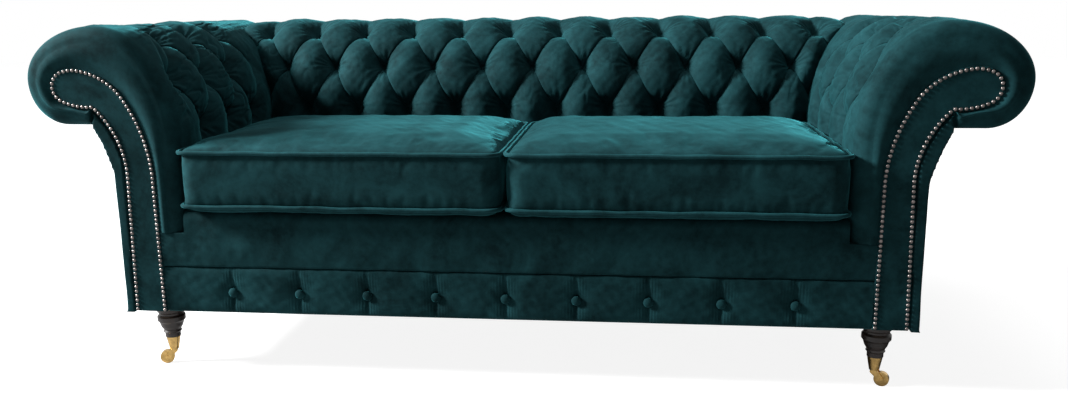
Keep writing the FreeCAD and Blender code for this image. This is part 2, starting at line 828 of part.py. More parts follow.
def between_arms():
    """Upright prism between the inner faces of the two arms, where the back pad is fitted."""
    face = number(ARM_FACE) - TRIM_CLEARANCE
    side = [Vector(face + point.x, 0, point.y) for point, normal in inner_rows()]
    low = Vector(side[0].x, 0, size("base_height"))
    high = Vector(side[-1].x, 0, size("sofa_width"))
    right = [low] + side + [high]
    left = [Vector(-point.x, 0, point.z) for point in right[::-1]]
    outline = Part.makePolygon(right + left + [right[0]])
    return Part.Face(outline).extrude(Vector(0, size("sofa_depth"), 0))


def make_back():
    roll = back_roll()
    form("back_pad", roll.solid().common(between_arms()).Solids[0])
    last = max(BACK_END_SHARES)
    form("back_buttons", group([button(roll, last + step, row) for step, row in BACK_PITS]))

    upright_low = "Sizes.rail_top_height + Sizes.seat_gap"
    fall = f"(Sizes.facing_base_run - Sizes.facing_waist_run) / ({WAIST} - Sizes.facing_low_height)"
    base = f"Sizes.facing_waist_run + {fall} * ({WAIST} - ({upright_low}))"
    corners = scroll_corners(BACK_FACE, upright_low, base)
    outline = Part.Face(Part.Wire(Part.sortEdges(outline_edges(corners))[0]))
    outline.rotate(Vector(0, 0, 0), Vector(1, 0, 0), 90)
    outline.rotate(Vector(0, 0, 0), Vector(0, 0, 1), 90)
    thickness = size("board_thickness")
    gap = size("seat_gap")
    mortise = Part.makeBox(
        thickness,
        size("top_rail_width") + 2 * gap,
        size("top_rail_height") + 2 * gap,
        Vector(0, number(BACK_FACE) + size("top_rail_run") - gap, number(below_crest("top_rail_drop")) - gap),
    )
    upright = outline.extrude(Vector(thickness, 0, 0)).cut(mortise)
    spacing = number(UPRIGHT_SPACING)
    places = [Vector(spacing * place - thickness / 2, 0, 0) for place in UPRIGHT_PLACES]
    form("back_uprights", group([upright.translated(place) for place in places]))

    half = f"(1.5 * {UPRIGHT_SPACING} + Sizes.board_thickness / 2)"
    rail_front = f"{BACK_FACE} + Sizes.top_rail_run"
    low = (f"-{half}", rail_front, TOP_RAIL_LOW)
    high = (half, f"{rail_front} + Sizes.top_rail_width", TOP_RAIL_HIGH)
    plank("back_top_rail", low, high)

    strap_spacing = number(UPRIGHT_SPACING) / 4
    places = [Vector(strap_spacing * place, number(BACK_FACE), 0) for place in STRAP_PLACES]
    form("back_webbing", straps(number(PAD_LOW), 90, places))

    half = f"({ARM_FACE} + Sizes.panel_base_run - Sizes.panel_inner_gap)"
    panel = board_along_x("outside_back_panel", panel_corners(BACK_FACE), f"2 * {half}")
    notch = plane_sketch(panel, "RollNotches", "XZ_Plane")
    inner = f"{ARM_FACE} - Sizes.seat_gap"
    low = below_crest("roll_low_drop") + " - Sizes.seat_gap"
    corners = [(inner, low), ("Sizes.sofa_width / 2", low)]
    corners += [("Sizes.sofa_width / 2", "Sizes.crest_height"), (inner, "Sizes.crest_height")]
    draw_outline(notch, corners)
    draw_outline(notch, corners, True)
    clear(panel, notch, "2 * Sizes.sofa_depth")


make_back()


# Seat frame

def make_seat_frame():
    low = (f"-{RAIL_END}", RAIL_FRONT, "Sizes.rail_low_height")
    high = (RAIL_END, f"{RAIL_FRONT} + Sizes.rail_thickness", "Sizes.rail_top_height")
    plank("front_seat_rail", low, high)

    low = (f"-{RAIL_END}", BACK_RAIL_FRONT, "Sizes.rail_low_height")
    high = (RAIL_END, BACK_RAIL_REAR, "Sizes.rail_top_height")
    plank("back_seat_rail", low, high)

    half = "Sizes.centre_rail_width / 2"
    low = (f"-{half}", f"{RAIL_FRONT} + Sizes.rail_thickness + Sizes.seat_gap", "Sizes.centre_rail_low")
    high = (half, f"{BACK_RAIL_FRONT} - Sizes.seat_gap", "Sizes.rail_top_height - Sizes.centre_rail_drop")
    plank("centre_seat_rail", low, high)

    width = size("block_width")
    length = size("block_length")
    inner = number(SIDE_RAIL_OUTER) + size("seat_gap")
    blocks = []
    for x in (-inner - width, inner):
        for y in (number(RAIL_START), number(RAIL_STOP) - length):
            corner = Vector(x, y, size("rail_low_height"))
            blocks.append(Part.makeBox(width, length, size("block_height"), corner))
    form("corner_blocks", group(blocks))


def make_dust_cover():
    """Cloth under the frame, let in between the boards and posts and cut out round the legs."""
    body = new_body("dust_cover")
    outline = plane_sketch(body, "ClothOutline", "XY_Plane")
    half = f"({RAIL_END} - Sizes.cloth_margin)"
    wing = f"({SIDE_RAIL_OUTER} + Sizes.block_width)"
    front = f"{RAIL_FRONT} + Sizes.cloth_margin"
    rear = BACK_RAIL_REAR
    half_outline = [(half, front), (half, RAIL_START), (wing, RAIL_START)]
    half_outline += [(wing, RAIL_STOP), (half, RAIL_STOP), (half, rear)]
    draw_outline(outline, half_outline + [mirrored(corner) for corner in half_outline[::-1]])
    pad(body, outline, "Sizes.dust_cover_thickness")
    legs = plane_sketch(body, "LegOpenings", "XY_Plane")
    hole = "Sizes.leg_collar_radius + Sizes.cloth_margin"
    side = "(Sizes.rear_leg_top / 2 + Sizes.cloth_margin)"
    rear_corners = []
    for x, y in (("-", "-"), ("", "-"), ("", ""), ("-", "")):
        rear_corners.append((f"{LEG_X} + {x}{side}", f"{REAR_LEG_Y} + {y}{side}"))
    for sign in ("", "-"):
        draw_circle(legs, f"{sign}{LEG_X}", FRONT_LEG_Y, hole)
        draw_outline(legs, rear_corners, sign == "-")
    clear(body, legs, "4 * Sizes.dust_cover_thickness")
    body.setExpression("Placement.Base.z", "Sizes.rail_low_height - Sizes.leg_gap")


make_seat_frame()
make_dust_cover()


# Seat suspension and platform

SPRING_PLACES = (-5.5, -4.5, -3.5, -2.5, -1.5, -0.5, 0.5, 1.5, 2.5, 3.5, 4.5, 5.5)
SPRING_BEND_COUNT = 6


def make_seat_springs():
    wire = size("spring_wire")
    gap = size("seat_gap")
    wall = size("clip_wall")
    low = size("rail_top_height") + wall + 2 * gap
    reach = size("spring_reach")
    first = number(RAIL_FRONT) + size("spring_end")
    last = number(BACK_RAIL_REAR) - size("spring_end")
    path = []
    for bend in range(SPRING_BEND_COUNT + 1):
        y = first + (last - first) * bend / SPRING_BEND_COUNT
        rung = [Vector(-reach, y, low), Vector(reach, y, low)]
        path += rung if bend % 2 == 0 else rung[::-1]
    outline = ribbon(path, wire)
    spring = Part.Face(Part.makePolygon(outline + [outline[0]])).extrude(Vector(0, 0, wire))
    places = [Vector(place * number(UPRIGHT_SPACING) / 4, 0, 0) for place in SPRING_PLACES]
    form("seat_springs", group([spring.translated(place) for place in places]))

    half = size("clip_width") / 2
    inside = wire / 2 + gap
    outside = inside + wall
    mouth = size("clip_length") - outside
    top = low + wire + gap
    base = size("rail_top_height") + gap
    section = [(-outside, base), (mouth, base), (mouth, base + wall), (-inside, base + wall)]
    section += [(-inside, top), (mouth, top), (mouth, top + wall), (-outside, top + wall)]
    clips = []
    for y, turn in ((first, 1), (last, -1)):
        points = [Vector(-half, y + turn * back, height) for back, height in section]
        clip = Part.Face(Part.makePolygon(points + [points[0]])).extrude(Vector(2 * half, 0, 0))
        clips += [clip.translated(place) for place in places]
    form("spring_clips", group(clips))

    half = f"({ARM_FACE} - Sizes.seat_gap)"
    low = (f"-{half}", f"{FRONT} + Sizes.lip_depth", PLATFORM_LOW)
    high = (half, f"{BACK_FACE} - Sizes.seat_gap", PLATFORM_TOP)
    plank("seat_platform", low, high)


make_seat_springs()


# Front border and the padded lip above it

BORDER_BUTTONS = range(-4, 5)
BUTTON_TAPER = 0.6
BUTTON_SIDE_COUNT = 10


def make_front():
    rear = f"{RAIL_FRONT} - Sizes.seat_gap"
    front = f"{rear} - Sizes.border_thickness"
    rise = "(Sizes.border_top_height - Sizes.facing_low_height)"
    radius = f"{rise} ^ 2 / (8 * Sizes.border_crown) + Sizes.border_crown / 2"
    corners = [
        (rear, "Sizes.facing_low_height"),
        (rear, "Sizes.border_top_height"),
        (front, "Sizes.border_top_height", radius, 1),
        (front, "Sizes.facing_low_height"),
    ]
    board_along_x("front_border", corners, f"2 * {RAIL_END}")

    face = number(front) - size("border_crown") - size("seat_gap")
    buttons = []
    for place in BORDER_BUTTONS:
        centre = Vector(place * number(BORDER_BUTTON_PITCH), face, size("border_button_height"))
        radius = size("border_button_radius")
        buttons.append(stud(centre, radius, size("border_button_rise"), BUTTON_TAPER, BUTTON_SIDE_COUNT))
    form("border_buttons", group(buttons))

    lip_front = f"{FRONT} + Sizes.lip_setback"
    lip_low = "Sizes.border_top_height + Sizes.seat_gap * 1.6"
    corners = [
        (rear, lip_low),
        (rear, PLATFORM_LOW),
        (f"{FRONT} + Sizes.lip_depth - Sizes.seat_gap", PLATFORM_LOW),
        (f"{FRONT} + Sizes.lip_depth - Sizes.seat_gap", PLATFORM_TOP),
        (f"{lip_front} + Sizes.lip_edge_radius", PLATFORM_TOP, "Sizes.lip_edge_radius", 1),
        (lip_front, f"{PLATFORM_TOP} - Sizes.lip_edge_radius"),
        (lip_front, lip_low),
    ]
    lip = board_along_x("front_lip", corners, f"2 * ({ARM_FACE} - Sizes.seat_gap)")
    strip = plane_sketch(lip, "FrontStrip", "YZ_Plane")
    high = f"{PAD_LOW} - Sizes.seat_gap"
    draw_outline(strip, [(rear, lip_low), (rear, high), (lip_front, high), (lip_front, lip_low)])
    pad(lip, strip, f"2 * {RAIL_END}", "Symmetric")


make_front()


# Seat cushions

# Sections from the edge inwards: distance in, and share of the height of the band
UNDERSIDE = [(1, 0), (0.36, 0.35), (0, 1)]
BOXING = [(0.7, 0.23), (1, 0.5), (0.7, 0.77), (0, 1)]
CROWN = [(0.18, 0.47), (0.49, 0.81), (1, 1)]
CORNER_STEP_COUNT = 3
PIPING_SIDE_COUNT = 6


def cushion_ring(inset, height, corner):
    """Points round a cushion with rounded corners, in from the edges of its half of the seat."""
    reach = inset + corner
    low_x = size("cushion_gap") + reach
    high_x = number(ARM_FACE) - size("cushion_gap") - reach
    low_y = reach - size("sofa_depth") / 2
    high_y = number(BACK_FACE) - size("cushion_gap") - reach
    centres = [(high_x, high_y), (low_x, high_y), (low_x, low_y), (high_x, low_y)]
    ring = []
    for quarter, (x, y) in enumerate(centres):
        for step in range(CORNER_STEP_COUNT + 1):
            angle = math.pi / 2 * (quarter + step / CORNER_STEP_COUNT)
            ring.append(Vector(x + corner * math.cos(angle), y + corner * math.sin(angle), height))
    return ring


def cushion_form(shrink):
    """The filled cushion as one solid, drawn in all round by the shrink."""
    edge = size("boxing_inset") + shrink
    corner = size("cushion_corner") - shrink
    low, seam, top = number(CUSHION_LOW), number(PIPING_LOW), number(PIPING_TOP)
    crown = size("cushion_crown")
    depth = number(BACK_FACE) + size("sofa_depth") / 2 - size("cushion_gap")
    crown_reach = (depth - size("crown_flat")) / 2 - size("boxing_inset")
    profile = [(edge + size("underside_reach") * back, low + (seam - low) * up) for back, up in UNDERSIDE]
    profile += [(edge + size("boxing_draw") * back, seam + (top - seam) * up) for back, up in BOXING]
    profile += [(edge + crown_reach * back, top + crown * up) for back, up in CROWN]
    profile[0] = (profile[0][0], low + shrink)
    profile[-1] = (profile[-1][0], top + crown - shrink)
    rings = [cushion_ring(inset, height, corner) for inset, height in profile]
    return solid_of([rings[0], rings[-1]] + banded(rings))


def piping_loop(height):
    radius = size("piping_radius")
    rings = []
    for side in range(PIPING_SIDE_COUNT + 1):
        angle = 2 * math.pi * side / PIPING_SIDE_COUNT
        out = radius * math.cos(angle)
        corner = size("cushion_corner") + radius + out
        rings.append(cushion_ring(radius - out, height + radius * math.sin(angle), corner))
    rings[-1] = rings[0]
    return solid_of(banded(rings))


def make_cushion(side):
    cover = size("cover_thickness")
    shell = cushion_form(0).cut(cushion_form(cover))
    core = cushion_form(cover + size("core_gap"))
    loops = [piping_loop(number(height)) for height in (PIPING_LOW, PIPING_TOP)]
    shapes = {"cushion": shell, "core": core, "piping": group(loops)}
    for name, shape in shapes.items():
        if side == "left":
            shape = shape.mirror(Vector(0, 0, 0), Vector(1, 0, 0))
        form(f"seat_{name}_{side}", shape)


make_cushion("left")
make_cushion("right")


# Legs and castors

LEG_SHOULDER = "Sizes.cup_top_height + Sizes.seat_gap"
CUP_SLOPE = "(Sizes.cup_top_radius - Sizes.cup_low_radius) / (Sizes.cup_top_height - Sizes.cup_low_height)"
FLOOR_TOP = "(Sizes.cup_low_height + Sizes.cup_floor)"


def cup_inner(height):
    """Inner radius of the cup at a height, as an expression."""
    return f"(Sizes.cup_low_radius - Sizes.cup_wall + {CUP_SLOPE} * ({height} - Sizes.cup_low_height))"


def stand(body, side, y):
    """Puts a piece over its leg's place."""
    body.setExpression("Placement.Base.x", LEG_X if side == "right" else f"-{LEG_X}")
    body.setExpression("Placement.Base.y", y)


def front_leg(side):
    """Turned leg: tapered foot in the cup, ankle, ring, waist, bulb, groove and collar."""
    body = document.addObject("PartDesign::Body", f"front_leg_{side}")
    foot = "Sizes.leg_foot_height"
    bulb = "Sizes.leg_bulb_height"
    rise = "Sizes.leg_bulb_rise"
    ring = "Sizes.leg_ring_height"
    foot_low = f"{cup_inner(foot)} - Sizes.seat_gap"
    foot_top = f"{cup_inner('Sizes.cup_top_height')} - Sizes.seat_gap"
    bulb_edge = "Sizes.leg_groove_radius"
    corners = [
        ("0", foot),
        (foot_low, foot),
        (foot_top, LEG_SHOULDER),
        ("Sizes.leg_ankle_radius", LEG_SHOULDER),
        ("Sizes.leg_ankle_radius", f"{ring} - Sizes.cup_floor"),
        ("Sizes.leg_ring_radius", f"{ring}"),
        ("Sizes.leg_ankle_radius + Sizes.cup_wall", f"{ring} + Sizes.cup_floor"),
        ("Sizes.leg_waist_radius", "Sizes.leg_waist_height"),
        (bulb_edge, f"{bulb} - {rise}"),
        ("Sizes.leg_bulb_radius", f"{bulb} - {rise} / 2"),
        ("Sizes.leg_bulb_radius", f"{bulb} + {rise} / 2"),
        (bulb_edge, f"{bulb} + {rise}"),
        (bulb_edge, "Sizes.leg_groove_height"),
        ("Sizes.leg_collar_radius", "Sizes.leg_collar_height"),
        ("Sizes.leg_collar_radius", "Sizes.rail_low_height - Sizes.leg_gap"),
        ("0", "Sizes.rail_low_height - Sizes.leg_gap"),
    ]
    revolved(body, corners)
    stand(body, side, FRONT_LEG_Y)
    return body


def rear_leg(side):
    """Square tapered leg that rakes rearwards and outwards."""
    piece = document.addObject("Part::Wedge", f"rear_leg_{side}")
    lean = "Sizes.rear_leg_rake" if side == "right" else "-Sizes.rear_leg_rake"
    half_foot = "Sizes.rear_leg_foot / 2"
    half_top = "Sizes.rear_leg_top / 2"
    piece.setExpression("Xmin", f"{lean} - {half_foot}")
    piece.setExpression("Xmax", f"{lean} + {half_foot}")
    piece.setExpression("Zmin", f"-Sizes.rear_leg_rake - {half_foot}")
    piece.setExpression("Zmax", f"-Sizes.rear_leg_rake + {half_foot}")
    for axis in "XZ":
        piece.setExpression(f"{axis}2min", f"-{half_top}")
        piece.setExpression(f"{axis}2max", half_top)
    piece.Ymin = 0
    piece.setExpression("Ymax", "Sizes.rail_low_height - Sizes.leg_gap")
    piece.Placement = Placement(Vector(0, 0, 0), Rotation(Vector(1, 0, 0), 90))
    stand(piece, side, REAR_LEG_Y)
    finished(piece, f"rear_leg_{side}")


def castor_cup(side):
    body = document.addObject("PartDesign::Body", f"castor_cup_{side}")
    bore = "Sizes.stem_radius + Sizes.fit_gap"
    revolved(body, [
        (bore, "Sizes.cup_low_height"),
        ("Sizes.cup_low_radius", "Sizes.cup_low_height"),
        ("Sizes.cup_top_radius", "Sizes.cup_top_height"),
        (cup_inner("Sizes.cup_top_height"), "Sizes.cup_top_height"),
        (cup_inner(FLOOR_TOP), FLOOR_TOP),
        (bore, FLOOR_TOP),
    ])
    stand(body, side, FRONT_LEG_Y)
    return body


def trail_turn(side):
    """Turn about the upright axis that points the castor's trail outwards and a little to the front."""
    angle = -size("trail_angle") if side == "right" else 180 + size("trail_angle")
    return Rotation(Vector(0, 0, 1), angle)


def castor_horn(side):
    """Swivel horn: stem with a peened head, crown plate and two cheeks either side of the wheel."""
    body = new_body(f"castor_horn_{side}")
    plate_top = "Sizes.cup_low_height - Sizes.seat_gap"
    plate_low = f"{plate_top} - Sizes.horn_thickness"
    head_low = f"{FLOOR_TOP} + Sizes.core_gap"
    head_top = f"{head_low} + Sizes.stem_head_thickness"
    revolved(body, [
        ("0", plate_low),
        ("Sizes.horn_radius", plate_low),
        ("Sizes.horn_radius", plate_top),
        ("Sizes.stem_radius", plate_top),
        ("Sizes.stem_radius", head_low),
        ("Sizes.stem_head_radius", head_low),
        ("Sizes.stem_head_radius", head_top),
        ("0", head_top),
    ])
    cheeks = plane_sketch(body, "CheekOutline", "XZ_Plane")
    run = "Sizes.trail"
    drop = f"({plate_top} - Sizes.wheel_radius)"
    slope = f"sqrt(({run} - Sizes.horn_radius) ^ 2 + {drop} ^ 2)"
    tip_x = f"{run} + Sizes.cheek_end_radius * {drop} / {slope}"
    tip_z = f"Sizes.wheel_radius + Sizes.cheek_end_radius * ({run} - Sizes.horn_radius) / {slope}"
    heel_x = f"{run} - Sizes.cheek_end_radius * 0.7"
    heel_z = "Sizes.wheel_radius - Sizes.cheek_end_radius * sqrt(0.51)"
    draw_outline(cheeks, [
        ("-Sizes.horn_radius", plate_low),
        (heel_x, heel_z, "Sizes.cheek_end_radius", 1),
        (tip_x, tip_z),
        ("Sizes.horn_radius", plate_top),
        ("-Sizes.horn_radius", plate_top),
    ])
    fork = "(Sizes.wheel_width + 2 * Sizes.wheel_gap)"
    pad(body, cheeks, f"{fork} + 2 * Sizes.cheek_thickness", "Symmetric")
    slot = plane_sketch(body, "WheelSlot", "XZ_Plane")
    far = "2 * Sizes.leg_collar_radius"
    draw_outline(slot, [
        (f"-{far}", "0"),
        (far, "0"),
        (far, plate_top),
        ("Sizes.horn_radius", plate_top),
        ("Sizes.horn_radius", plate_low),
        (f"-{far}", plate_low),
    ])
    clear(body, slot, fork)
    hole = plane_sketch(body, "AxleHole", "XZ_Plane")
    draw_circle(hole, run, "Sizes.wheel_radius", "Sizes.axle_radius + Sizes.fit_gap")
    clear(body, hole, f"{fork} + 4 * Sizes.cheek_thickness")
    body.Placement = Placement(Vector(0, 0, 0), trail_turn(side))
    stand(body, side, FRONT_LEG_Y)


def on_axle(body, side):
    """Lays a turned piece across the trail, with its middle on the wheel's centre."""
    turn = trail_turn(side)
    body.Placement = Placement(Vector(0, 0, 0), turn.multiply(Rotation(Vector(1, 0, 0), 90)))
    sign = "" if side == "right" else "-"
    body.setExpression("Placement.Base.x", f"{sign}({LEG_X} + Sizes.trail * cos(Sizes.trail_angle))")
    body.setExpression("Placement.Base.y", f"{FRONT_LEG_Y} - Sizes.trail * sin(Sizes.trail_angle)")
    body.setExpression("Placement.Base.z", "Sizes.wheel_radius")


def castor_axle(side):
    body = new_body(f"castor_axle_{side}")
    inside = "(Sizes.wheel_width / 2 + Sizes.wheel_gap + Sizes.cheek_thickness + Sizes.axle_head_gap)"
    outside = f"({inside} + Sizes.axle_head_thickness)"
    revolved(body, [
        ("0", f"-{outside}"),
        ("Sizes.axle_head_radius", f"-{outside}"),
        ("Sizes.axle_head_radius", f"-{inside}"),
        ("Sizes.axle_radius", f"-{inside}"),
        ("Sizes.axle_radius", inside),
        ("Sizes.axle_head_radius", inside),
        ("Sizes.axle_head_radius", outside),
        ("0", outside),
    ])
    on_axle(body, side)


def castor_wheel(side):
    body = new_body(f"castor_wheel_{side}")
    bore = "Sizes.axle_radius + Sizes.fit_gap"
    half = "Sizes.wheel_width / 2"
    revolved(body, [
        (bore, f"-{half}"),
        ("Sizes.wheel_radius", f"-{half}"),
        ("Sizes.wheel_radius", half),
        (bore, half),
    ])
    on_axle(body, side)


def pair(label, make):
    """The same piece under both front corners, as two solids that share one node."""
    both = document.addObject("Part::Compound", label)
    both.Links = [make("left"), make("right")]
    return finished(both, label)


pair("front_legs", front_leg)
pair("castor_cups", castor_cup)
for hand in ("left", "right"):
    rear_leg(hand)
    castor_horn(hand)
    castor_axle(hand)
    castor_wheel(hand)


# Checks and one file for each sub-part

document.recompute()

for item in document.Objects:
    if "Invalid" in item.State or "Error" in item.State:
        raise RuntimeError(f"{item.Label} did not recompute: {item.State}")

os.makedirs("parts", exist_ok=True)
for piece in subparts:
    if piece.Shape.isNull() or not piece.Shape.isValid() or not piece.Shape.Solids:
        raise RuntimeError(f"{piece.Label} has no valid solid")
    piece.Shape.exportStep(os.path.join("parts", f"{piece.Label}.step"))
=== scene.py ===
import json
import math

import bmesh
import bpy
import numpy as np
from mathutils import Matrix, Vector


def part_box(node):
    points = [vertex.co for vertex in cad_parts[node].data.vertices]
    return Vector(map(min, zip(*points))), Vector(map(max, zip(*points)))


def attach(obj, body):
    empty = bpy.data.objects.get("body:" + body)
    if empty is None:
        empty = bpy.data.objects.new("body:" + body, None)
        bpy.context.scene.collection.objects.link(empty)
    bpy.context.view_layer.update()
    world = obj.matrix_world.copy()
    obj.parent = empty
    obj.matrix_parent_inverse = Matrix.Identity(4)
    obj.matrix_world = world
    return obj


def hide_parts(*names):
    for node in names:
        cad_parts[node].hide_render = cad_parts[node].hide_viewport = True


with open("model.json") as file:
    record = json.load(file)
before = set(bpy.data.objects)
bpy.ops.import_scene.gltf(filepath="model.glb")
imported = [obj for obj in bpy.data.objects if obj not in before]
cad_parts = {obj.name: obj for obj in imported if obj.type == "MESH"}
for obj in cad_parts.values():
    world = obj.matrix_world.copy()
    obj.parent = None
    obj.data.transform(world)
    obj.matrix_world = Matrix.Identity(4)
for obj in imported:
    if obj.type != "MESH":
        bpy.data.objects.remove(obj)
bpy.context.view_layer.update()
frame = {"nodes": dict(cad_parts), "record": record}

# Sizes from the frame, in metres. "Run" is the distance outwards from an arm's inner face, or rearwards
# from the inner face of the back.

SEAM_GAP = 0.0003
arm_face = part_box("seat_platform")[1].x + SEAM_GAP
back_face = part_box("seat_platform")[1].y + SEAM_GAP
front_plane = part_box("facing_panel_right")[0].y
arm_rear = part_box("arm_pad_right")[1].y
sofa_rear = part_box("back_pad")[1].y
arm_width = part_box("arm_pad_right")[1].x - arm_face
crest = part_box("arm_pad_right")[1].z
pad_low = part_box("arm_pad_right")[0].z
roll_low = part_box("corner_roll_right")[0].z

CREST_RUN = 0.185
SWELL_DROP = 0.255
ROLL_DROP = 0.125
ROLL_FLAT_RUN = 0.267
ROLL_END_RUN = 0.203
CROOK_RUN = 0.196
CROOK_DROP = 0.187
PLEAT_HEIGHT = 0.46

BACK_PITCH = (2 * arm_face + 0.05) / 11
ARM_TUFT_START = 0.25
ARM_PITCH = (back_face - front_plane - ARM_TUFT_START + 0.005) / 2
TUFT_DEPTH = 0.034
PIT_DEPTH = 0.016
PIT_REACH = 0.027
CROWN_RISE = 0.005
PUCKER = 0.0085
BUTTON_RADIUS = 0.0112
BUTTON_LIFT = 0.0035
BUTTON_FLATNESS = 0.55
NAIL_RADIUS = 0.0041
NAIL_FLATNESS = 0.66

VELVET = (0.0050, 0.0238, 0.0272)


# Materials


def new_material(name):
    material = bpy.data.materials.new(name)
    material.use_nodes = True
    return material, material.node_tree.nodes, material.node_tree.links


def node_of(nodes, kind, **inputs):
    made = nodes.new(kind)
    for name, value in inputs.items():
        made.inputs[name.replace("_", " ")].default_value = value
    return made


def ramp(nodes, low, high, low_colour, high_colour):
    made = nodes.new("ShaderNodeValToRGB")
    first, last = made.color_ramp.elements
    first.position, last.position = low, high
    first.color = (*low_colour, 1)
    last.color = (*high_colour, 1)
    return made


def scaled(colour, amount):
    return tuple(channel * amount for channel in colour)


def velvet(name, colour, dark=0.5, light=1.65, pile=0.0004):
    """Short-pile velvet: brushed patches of lighter and darker pile, a fine nap and a soft sheen."""
    material, nodes, links = new_material(name)
    surface = nodes["Principled BSDF"]
    surface.inputs["Roughness"].default_value = 0.78
    surface.inputs["Specular IOR Level"].default_value = 0.03
    surface.inputs["Sheen Weight"].default_value = 0.30
    surface.inputs["Sheen Roughness"].default_value = 0.34
    surface.inputs["Sheen Tint"].default_value = (0.08, 0.50, 0.56, 1)
    place = nodes.new("ShaderNodeTexCoord")
    brushed = node_of(nodes, "ShaderNodeTexNoise", Scale=7.0, Detail=5.0, Roughness=0.62, Distortion=1.1)
    streaks = node_of(nodes, "ShaderNodeTexNoise", Scale=55.0, Detail=4.0, Roughness=0.7)
    links.new(place.outputs["Object"], brushed.inputs["Vector"])
    links.new(place.outputs["Object"], streaks.inputs["Vector"])
    both = nodes.new("ShaderNodeMix")
    both.inputs["Factor"].default_value = 0.35
    links.new(brushed.outputs["Fac"], both.inputs["A"])
    links.new(streaks.outputs["Fac"], both.inputs["B"])
    shade = ramp(nodes, 0.36, 0.66, scaled(colour, dark), scaled(colour, light))
    links.new(both.outputs["Result"], shade.inputs["Fac"])
    links.new(shade.outputs["Color"], surface.inputs["Base Color"])
    fibres = node_of(nodes, "ShaderNodeTexNoise", Scale=900.0, Detail=2.0, Roughness=0.6)
    links.new(place.outputs["Object"], fibres.inputs["Vector"])
    raised = nodes.new("ShaderNodeBump")
    raised.inputs["Strength"].default_value = 0.5
    raised.inputs["Distance"].default_value = pile
    links.new(fibres.outputs["Fac"], raised.inputs["Height"])
    links.new(raised.outputs["Normal"], surface.inputs["Normal"])
    return material


def metal(name, colour, roughness, tarnish):
    material, nodes, links = new_material(name)
    surface = nodes["Principled BSDF"]
    surface.inputs["Metallic"].default_value = 1.0
    place = nodes.new("ShaderNodeTexCoord")
    patina = node_of(nodes, "ShaderNodeTexNoise", Scale=90.0, Detail=4.0, Roughness=0.6)
    links.new(place.outputs["Object"], patina.inputs["Vector"])
    shade = ramp(nodes, 0.35, 0.7, scaled(colour, tarnish), colour)
    links.new(patina.outputs["Fac"], shade.inputs["Fac"])
    links.new(shade.outputs["Color"], surface.inputs["Base Color"])
    gloss = nodes.new("ShaderNodeMapRange")
    gloss.inputs["To Min"].default_value = roughness * 1.35
    gloss.inputs["To Max"].default_value = roughness * 0.8
    links.new(patina.outputs["Fac"], gloss.inputs["Value"])
    links.new(gloss.outputs["Result"], surface.inputs["Roughness"])
    return material


def grained(name, dark, light, roughness, stretch):
    """Timber with the grain along the stretched axis."""
    material, nodes, links = new_material(name)
    surface = nodes["Principled BSDF"]
    surface.inputs["Roughness"].default_value = roughness
    place = nodes.new("ShaderNodeTexCoord")
    along = nodes.new("ShaderNodeMapping")
    along.inputs["Scale"].default_value = stretch
    grain = node_of(nodes, "ShaderNodeTexNoise", Scale=16.0, Detail=7.0, Roughness=0.65, Distortion=0.6)
    links.new(place.outputs["Object"], along.inputs["Vector"])
    links.new(along.outputs["Vector"], grain.inputs["Vector"])
    shade = ramp(nodes, 0.38, 0.66, dark, light)
    links.new(grain.outputs["Fac"], shade.inputs["Fac"])
    links.new(shade.outputs["Color"], surface.inputs["Base Color"])
    raised = nodes.new("ShaderNodeBump")
    raised.inputs["Strength"].default_value = 0.25
    raised.inputs["Distance"].default_value = 0.0003
    links.new(grain.outputs["Fac"], raised.inputs["Height"])
    links.new(raised.outputs["Normal"], surface.inputs["Normal"])
    return material


def plain_cloth(name, dark, light, weave):
    material, nodes, links = new_material(name)
    surface = nodes["Principled BSDF"]
    surface.inputs["Roughness"].default_value = 0.92
    surface.inputs["Specular IOR Level"].default_value = 0.15
    place = nodes.new("ShaderNodeTexCoord")
    threads = node_of(nodes, "ShaderNodeTexNoise", Scale=weave, Detail=3.0, Roughness=0.7)
    links.new(place.outputs["Object"], threads.inputs["Vector"])
    shade = ramp(nodes, 0.3, 0.7, dark, light)
    links.new(threads.outputs["Fac"], shade.inputs["Fac"])
    links.new(shade.outputs["Color"], surface.inputs["Base Color"])
    return material


materials = {
    "velvet": velvet("velvet", VELVET),
    "velvet_buttons": velvet("velvet_buttons", scaled(VELVET, 0.95)),
    "velvet_cushion": velvet("velvet_cushion", scaled(VELVET, 1.05), dark=0.5, light=1.6),
    "velvet_piping": velvet("velvet_piping", scaled(VELVET, 1.25)),
    "foam": plain_cloth("foam", (0.62, 0.57, 0.42), (0.72, 0.67, 0.52), 60.0),
    "nailheads": metal("nailheads", (0.24, 0.21, 0.20), 0.34, 0.35),
    "leg_wood": grained("leg_wood", (0.004, 0.0018, 0.0012), (0.013, 0.006, 0.004), 0.42, (4, 4, 0.5)),
    "brass": metal("brass", (0.72, 0.47, 0.17), 0.2, 0.55),
    "webbing": plain_cloth("webbing", (0.20, 0.13, 0.06), (0.32, 0.22, 0.11), 300.0),
    "cover_cloth": plain_cloth("cover_cloth", (0.006, 0.006, 0.006), (0.014, 0.014, 0.014), 400.0),
    "spring_steel": metal("spring_steel", (0.42, 0.42, 0.43), 0.4, 0.7),
    "clip_plastic": plain_cloth("clip_plastic", (0.012, 0.012, 0.012), (0.02, 0.02, 0.02), 40.0),
    "frame_wood": grained("frame_wood", (0.30, 0.19, 0.09), (0.47, 0.33, 0.17), 0.6, (0.6, 4, 4)),
}

for part in frame["record"]["subparts"]:
    shown = frame["nodes"][part["node"]]
    shown.data.materials.clear()
    shown.data.materials.append(materials[part["material_slot"]])


# Meshes from grids of points


